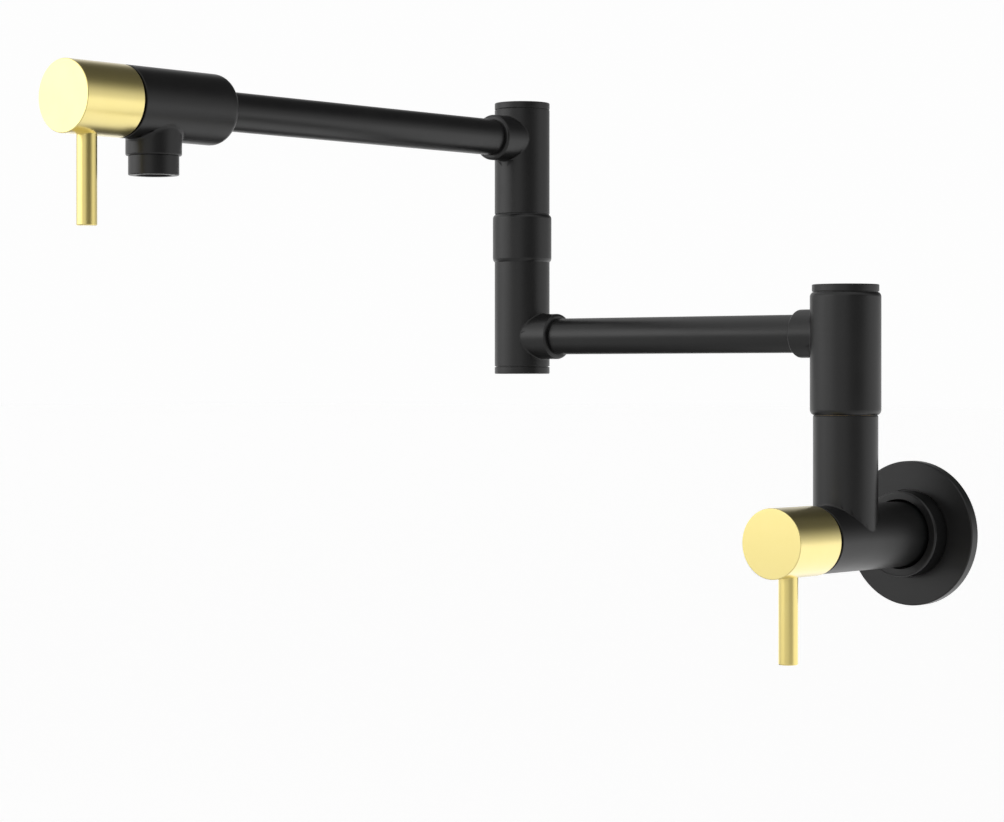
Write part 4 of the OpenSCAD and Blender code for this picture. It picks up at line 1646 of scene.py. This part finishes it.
@dataclass(frozen=True)
class Studio:
    """The floor, the lamp, the surroundings and the camera, in metres and degrees."""

    floor_z: float = -0.34
    floor_half: float = 30.0
    floor_colour: Colour = (0.82, 0.82, 0.82)
    floor_roughness: float = 0.9
    floor_lift: float = 0.552
    floor_front: float = 0.62
    floor_back: float = 1.2
    change_half: float = 0.3
    shade_at: Point = (-0.65, 0.25, -0.34)
    shade_size: Point = (0.42, 0.62, 1.0)
    shade_inner: float = 0.6
    shade_outer: float = 1.1
    shade_level: float = 0.05
    key: Lamp = Lamp("key", (-1.25, -0.95, 0.45), (-0.1, -0.15, 0.1), 1.0, 1.0, 0.3)
    lobes: tuple[Lobe, ...] = (Lobe((-0.55, -0.83, 0.0), 8.0, 38.0, 1.1),
                               Lobe((0.959, -0.284, 0.0), 10.0, 46.0, -0.8),
                               Lobe((0.1, 0.72, 0.69), 20.0, 52.0, -0.75))
    base_level: float = 0.82
    lowest_level: float = 0.02
    soft_light: float = 0.5
    white: float = 0.985
    sensor: float = 36.0
    lens: float = 102.07
    shift: tuple[float, float] = (-0.00357, -0.03602)
    viewpoint: Point = (0.74235, -1.18244, 0.07668)
    tilt: float = 90.0
    heading: float = 40.309

    def floor(self) -> None:
        """Lays a wide pale floor that is white to the camera and bright behind the tap."""
        bm = bmesh.new()
        bmesh.ops.create_grid(bm, x_segments=2, y_segments=2, size=self.floor_half,
                              matrix=Matrix.Translation((0.0, 0.0, self.floor_z)))
        obj = object_of("floor", bm)
        material, wire, shader = new_material("pale_floor")
        rays = wire.add("ShaderNodeLightPath").outputs
        wire.feed(shader, {
            "Base Color": rgba(self.floor_colour), "Roughness": self.floor_roughness,
            "Emission Color": rays["Is Camera Ray"], "Emission Strength": self.floor_lift})
        glow = wire.add("ShaderNodeEmission", {"Strength": self.mirrored_floor(wire)})
        seen = wire.math("MAXIMUM", rays["Is Glossy Ray"], rays["Is Transmission Ray"])
        look = wire.add("ShaderNodeMixShader", {"Fac": seen})
        for source, target in zip((shader, glow), look.inputs[1:]):
            wire.put(source.outputs[0], target)
        wire.put(look.outputs[0], material.node_tree.nodes["Material Output"].inputs["Surface"])
        obj.data.materials.append(material)

    def mirrored_floor(self, wire: Wiring) -> bpy.types.NodeSocket:
        """Works out how bright each place of the floor looks in the metal.

        Args:
            wire: Wiring of the floor's material.

        Returns:
            The level: full behind the tap, lower in front of it and dark beside it.
        """
        place = wire.add("ShaderNodeTexCoord").outputs["Object"]
        split = wire.add("ShaderNodeSeparateXYZ", {"Vector": place})
        depth = wire.add("ShaderNodeMapRange", {
            "Value": split.outputs["Y"], "From Min": -self.change_half,
            "From Max": self.change_half, "To Min": self.floor_front,
            "To Max": self.floor_back}, interpolation_type="SMOOTHSTEP")
        patch = wire.add("ShaderNodeMapping", {
            "Vector": place, "Location": self.shade_at, "Scale": self.shade_size},
            vector_type="TEXTURE")
        reach = wire.add("ShaderNodeVectorMath", {"Vector": patch.outputs["Vector"]},
                         operation="LENGTH")
        shade = wire.add("ShaderNodeMapRange", {
            "Value": reach.outputs["Value"], "From Min": self.shade_inner,
            "From Max": self.shade_outer, "To Min": self.shade_level},
            interpolation_type="SMOOTHSTEP")
        return wire.math("MULTIPLY", depth.outputs["Result"], shade.outputs["Result"])

    def surroundings(self) -> None:
        """Surrounds the tap with soft light that is white to the camera and pale in metal."""
        world = bpy.data.worlds.new("studio")
        bpy.context.scene.world = world
        world.use_nodes = True
        wire = Wiring(world.node_tree)
        place = wire.add("ShaderNodeTexCoord").outputs["Generated"]
        level: Fed = self.base_level
        for lobe in self.lobes:
            fall = wire.add("ShaderNodeMapRange", {
                "Value": wire.dot(place, Vector(lobe.direction).normalized()),
                "From Min": math.cos(math.radians(lobe.outer)),
                "From Max": math.cos(math.radians(lobe.inner)),
                "To Max": lobe.strength}, interpolation_type="SMOOTHSTEP")
            level = wire.math("ADD", fall.outputs["Result"], level)
        lowest = wire.math("MAXIMUM", level, self.lowest_level)
        rays = wire.add("ShaderNodeLightPath").outputs
        soft = wire.mix(MixKind.NUMBER, rays["Is Glossy Ray"], self.soft_light, lowest)
        seen = wire.math("MAXIMUM", rays["Is Camera Ray"], rays["Is Transmission Ray"])
        wire.feed(world.node_tree.nodes["Background"], {
            "Color": (1.0, 1.0, 1.0, 1.0),
            "Strength": wire.mix(MixKind.NUMBER, seen, soft, self.white)})

    def camera(self) -> None:
        """Sets the camera at the photograph's viewpoint."""
        data = bpy.data.cameras.new("camera")
        data.sensor_width, data.lens = self.sensor, self.lens
        data.shift_x, data.shift_y = self.shift
        obj = bpy.data.objects.new("camera", data)
        bpy.context.scene.collection.objects.link(obj)
        obj.location = self.viewpoint
        obj.rotation_euler = (math.radians(self.tilt), 0.0, math.radians(self.heading))
        bpy.context.scene.camera = obj

    def build(self) -> None:
        """Builds the whole stage."""
        self.floor()
        self.key.hang()
        self.surroundings()
        bpy.context.scene.view_settings.view_transform = "Standard"
        self.camera()


def main() -> None:
    """Builds the tap and its stage."""
    logging.basicConfig(level=logging.INFO, format="%(name)s: %(message)s")
    finishes = Finishes()
    WallPlate(finishes).build()
    InletNipple(finishes).build()
    ValveBody(finishes).build()
    RiserSwivel(finishes).build()
    ArmTube(finishes, "arm_1_tube_coated", "arm_1", "arm_1_tube",
            Facing.LEFT.placed((*RISER, ARM_1_Z)), start=17.0, end=182.5).build()
    Elbow(finishes).build()
    ArmTube(finishes, "arm_2_tube_coated", "arm_2", "arm_2_tube",
            Facing.OUT.placed((*ELBOW, ARM_2_Z)), start=15.5, end=225.0).build()
    OutletHead(finishes).build()
    LeverHandle(finishes, "inlet", "inlet_handle", "inlet_knob", "inlet_lever",
                INLET_FRONT).build()
    LeverHandle(finishes, "outlet", "outlet_handle", "outlet_knob", "outlet_lever",
                OUTLET_FRONT).build()
    InnerPieces(finishes).dress()
    Studio().build()


if __name__ == "__main__":
    main()
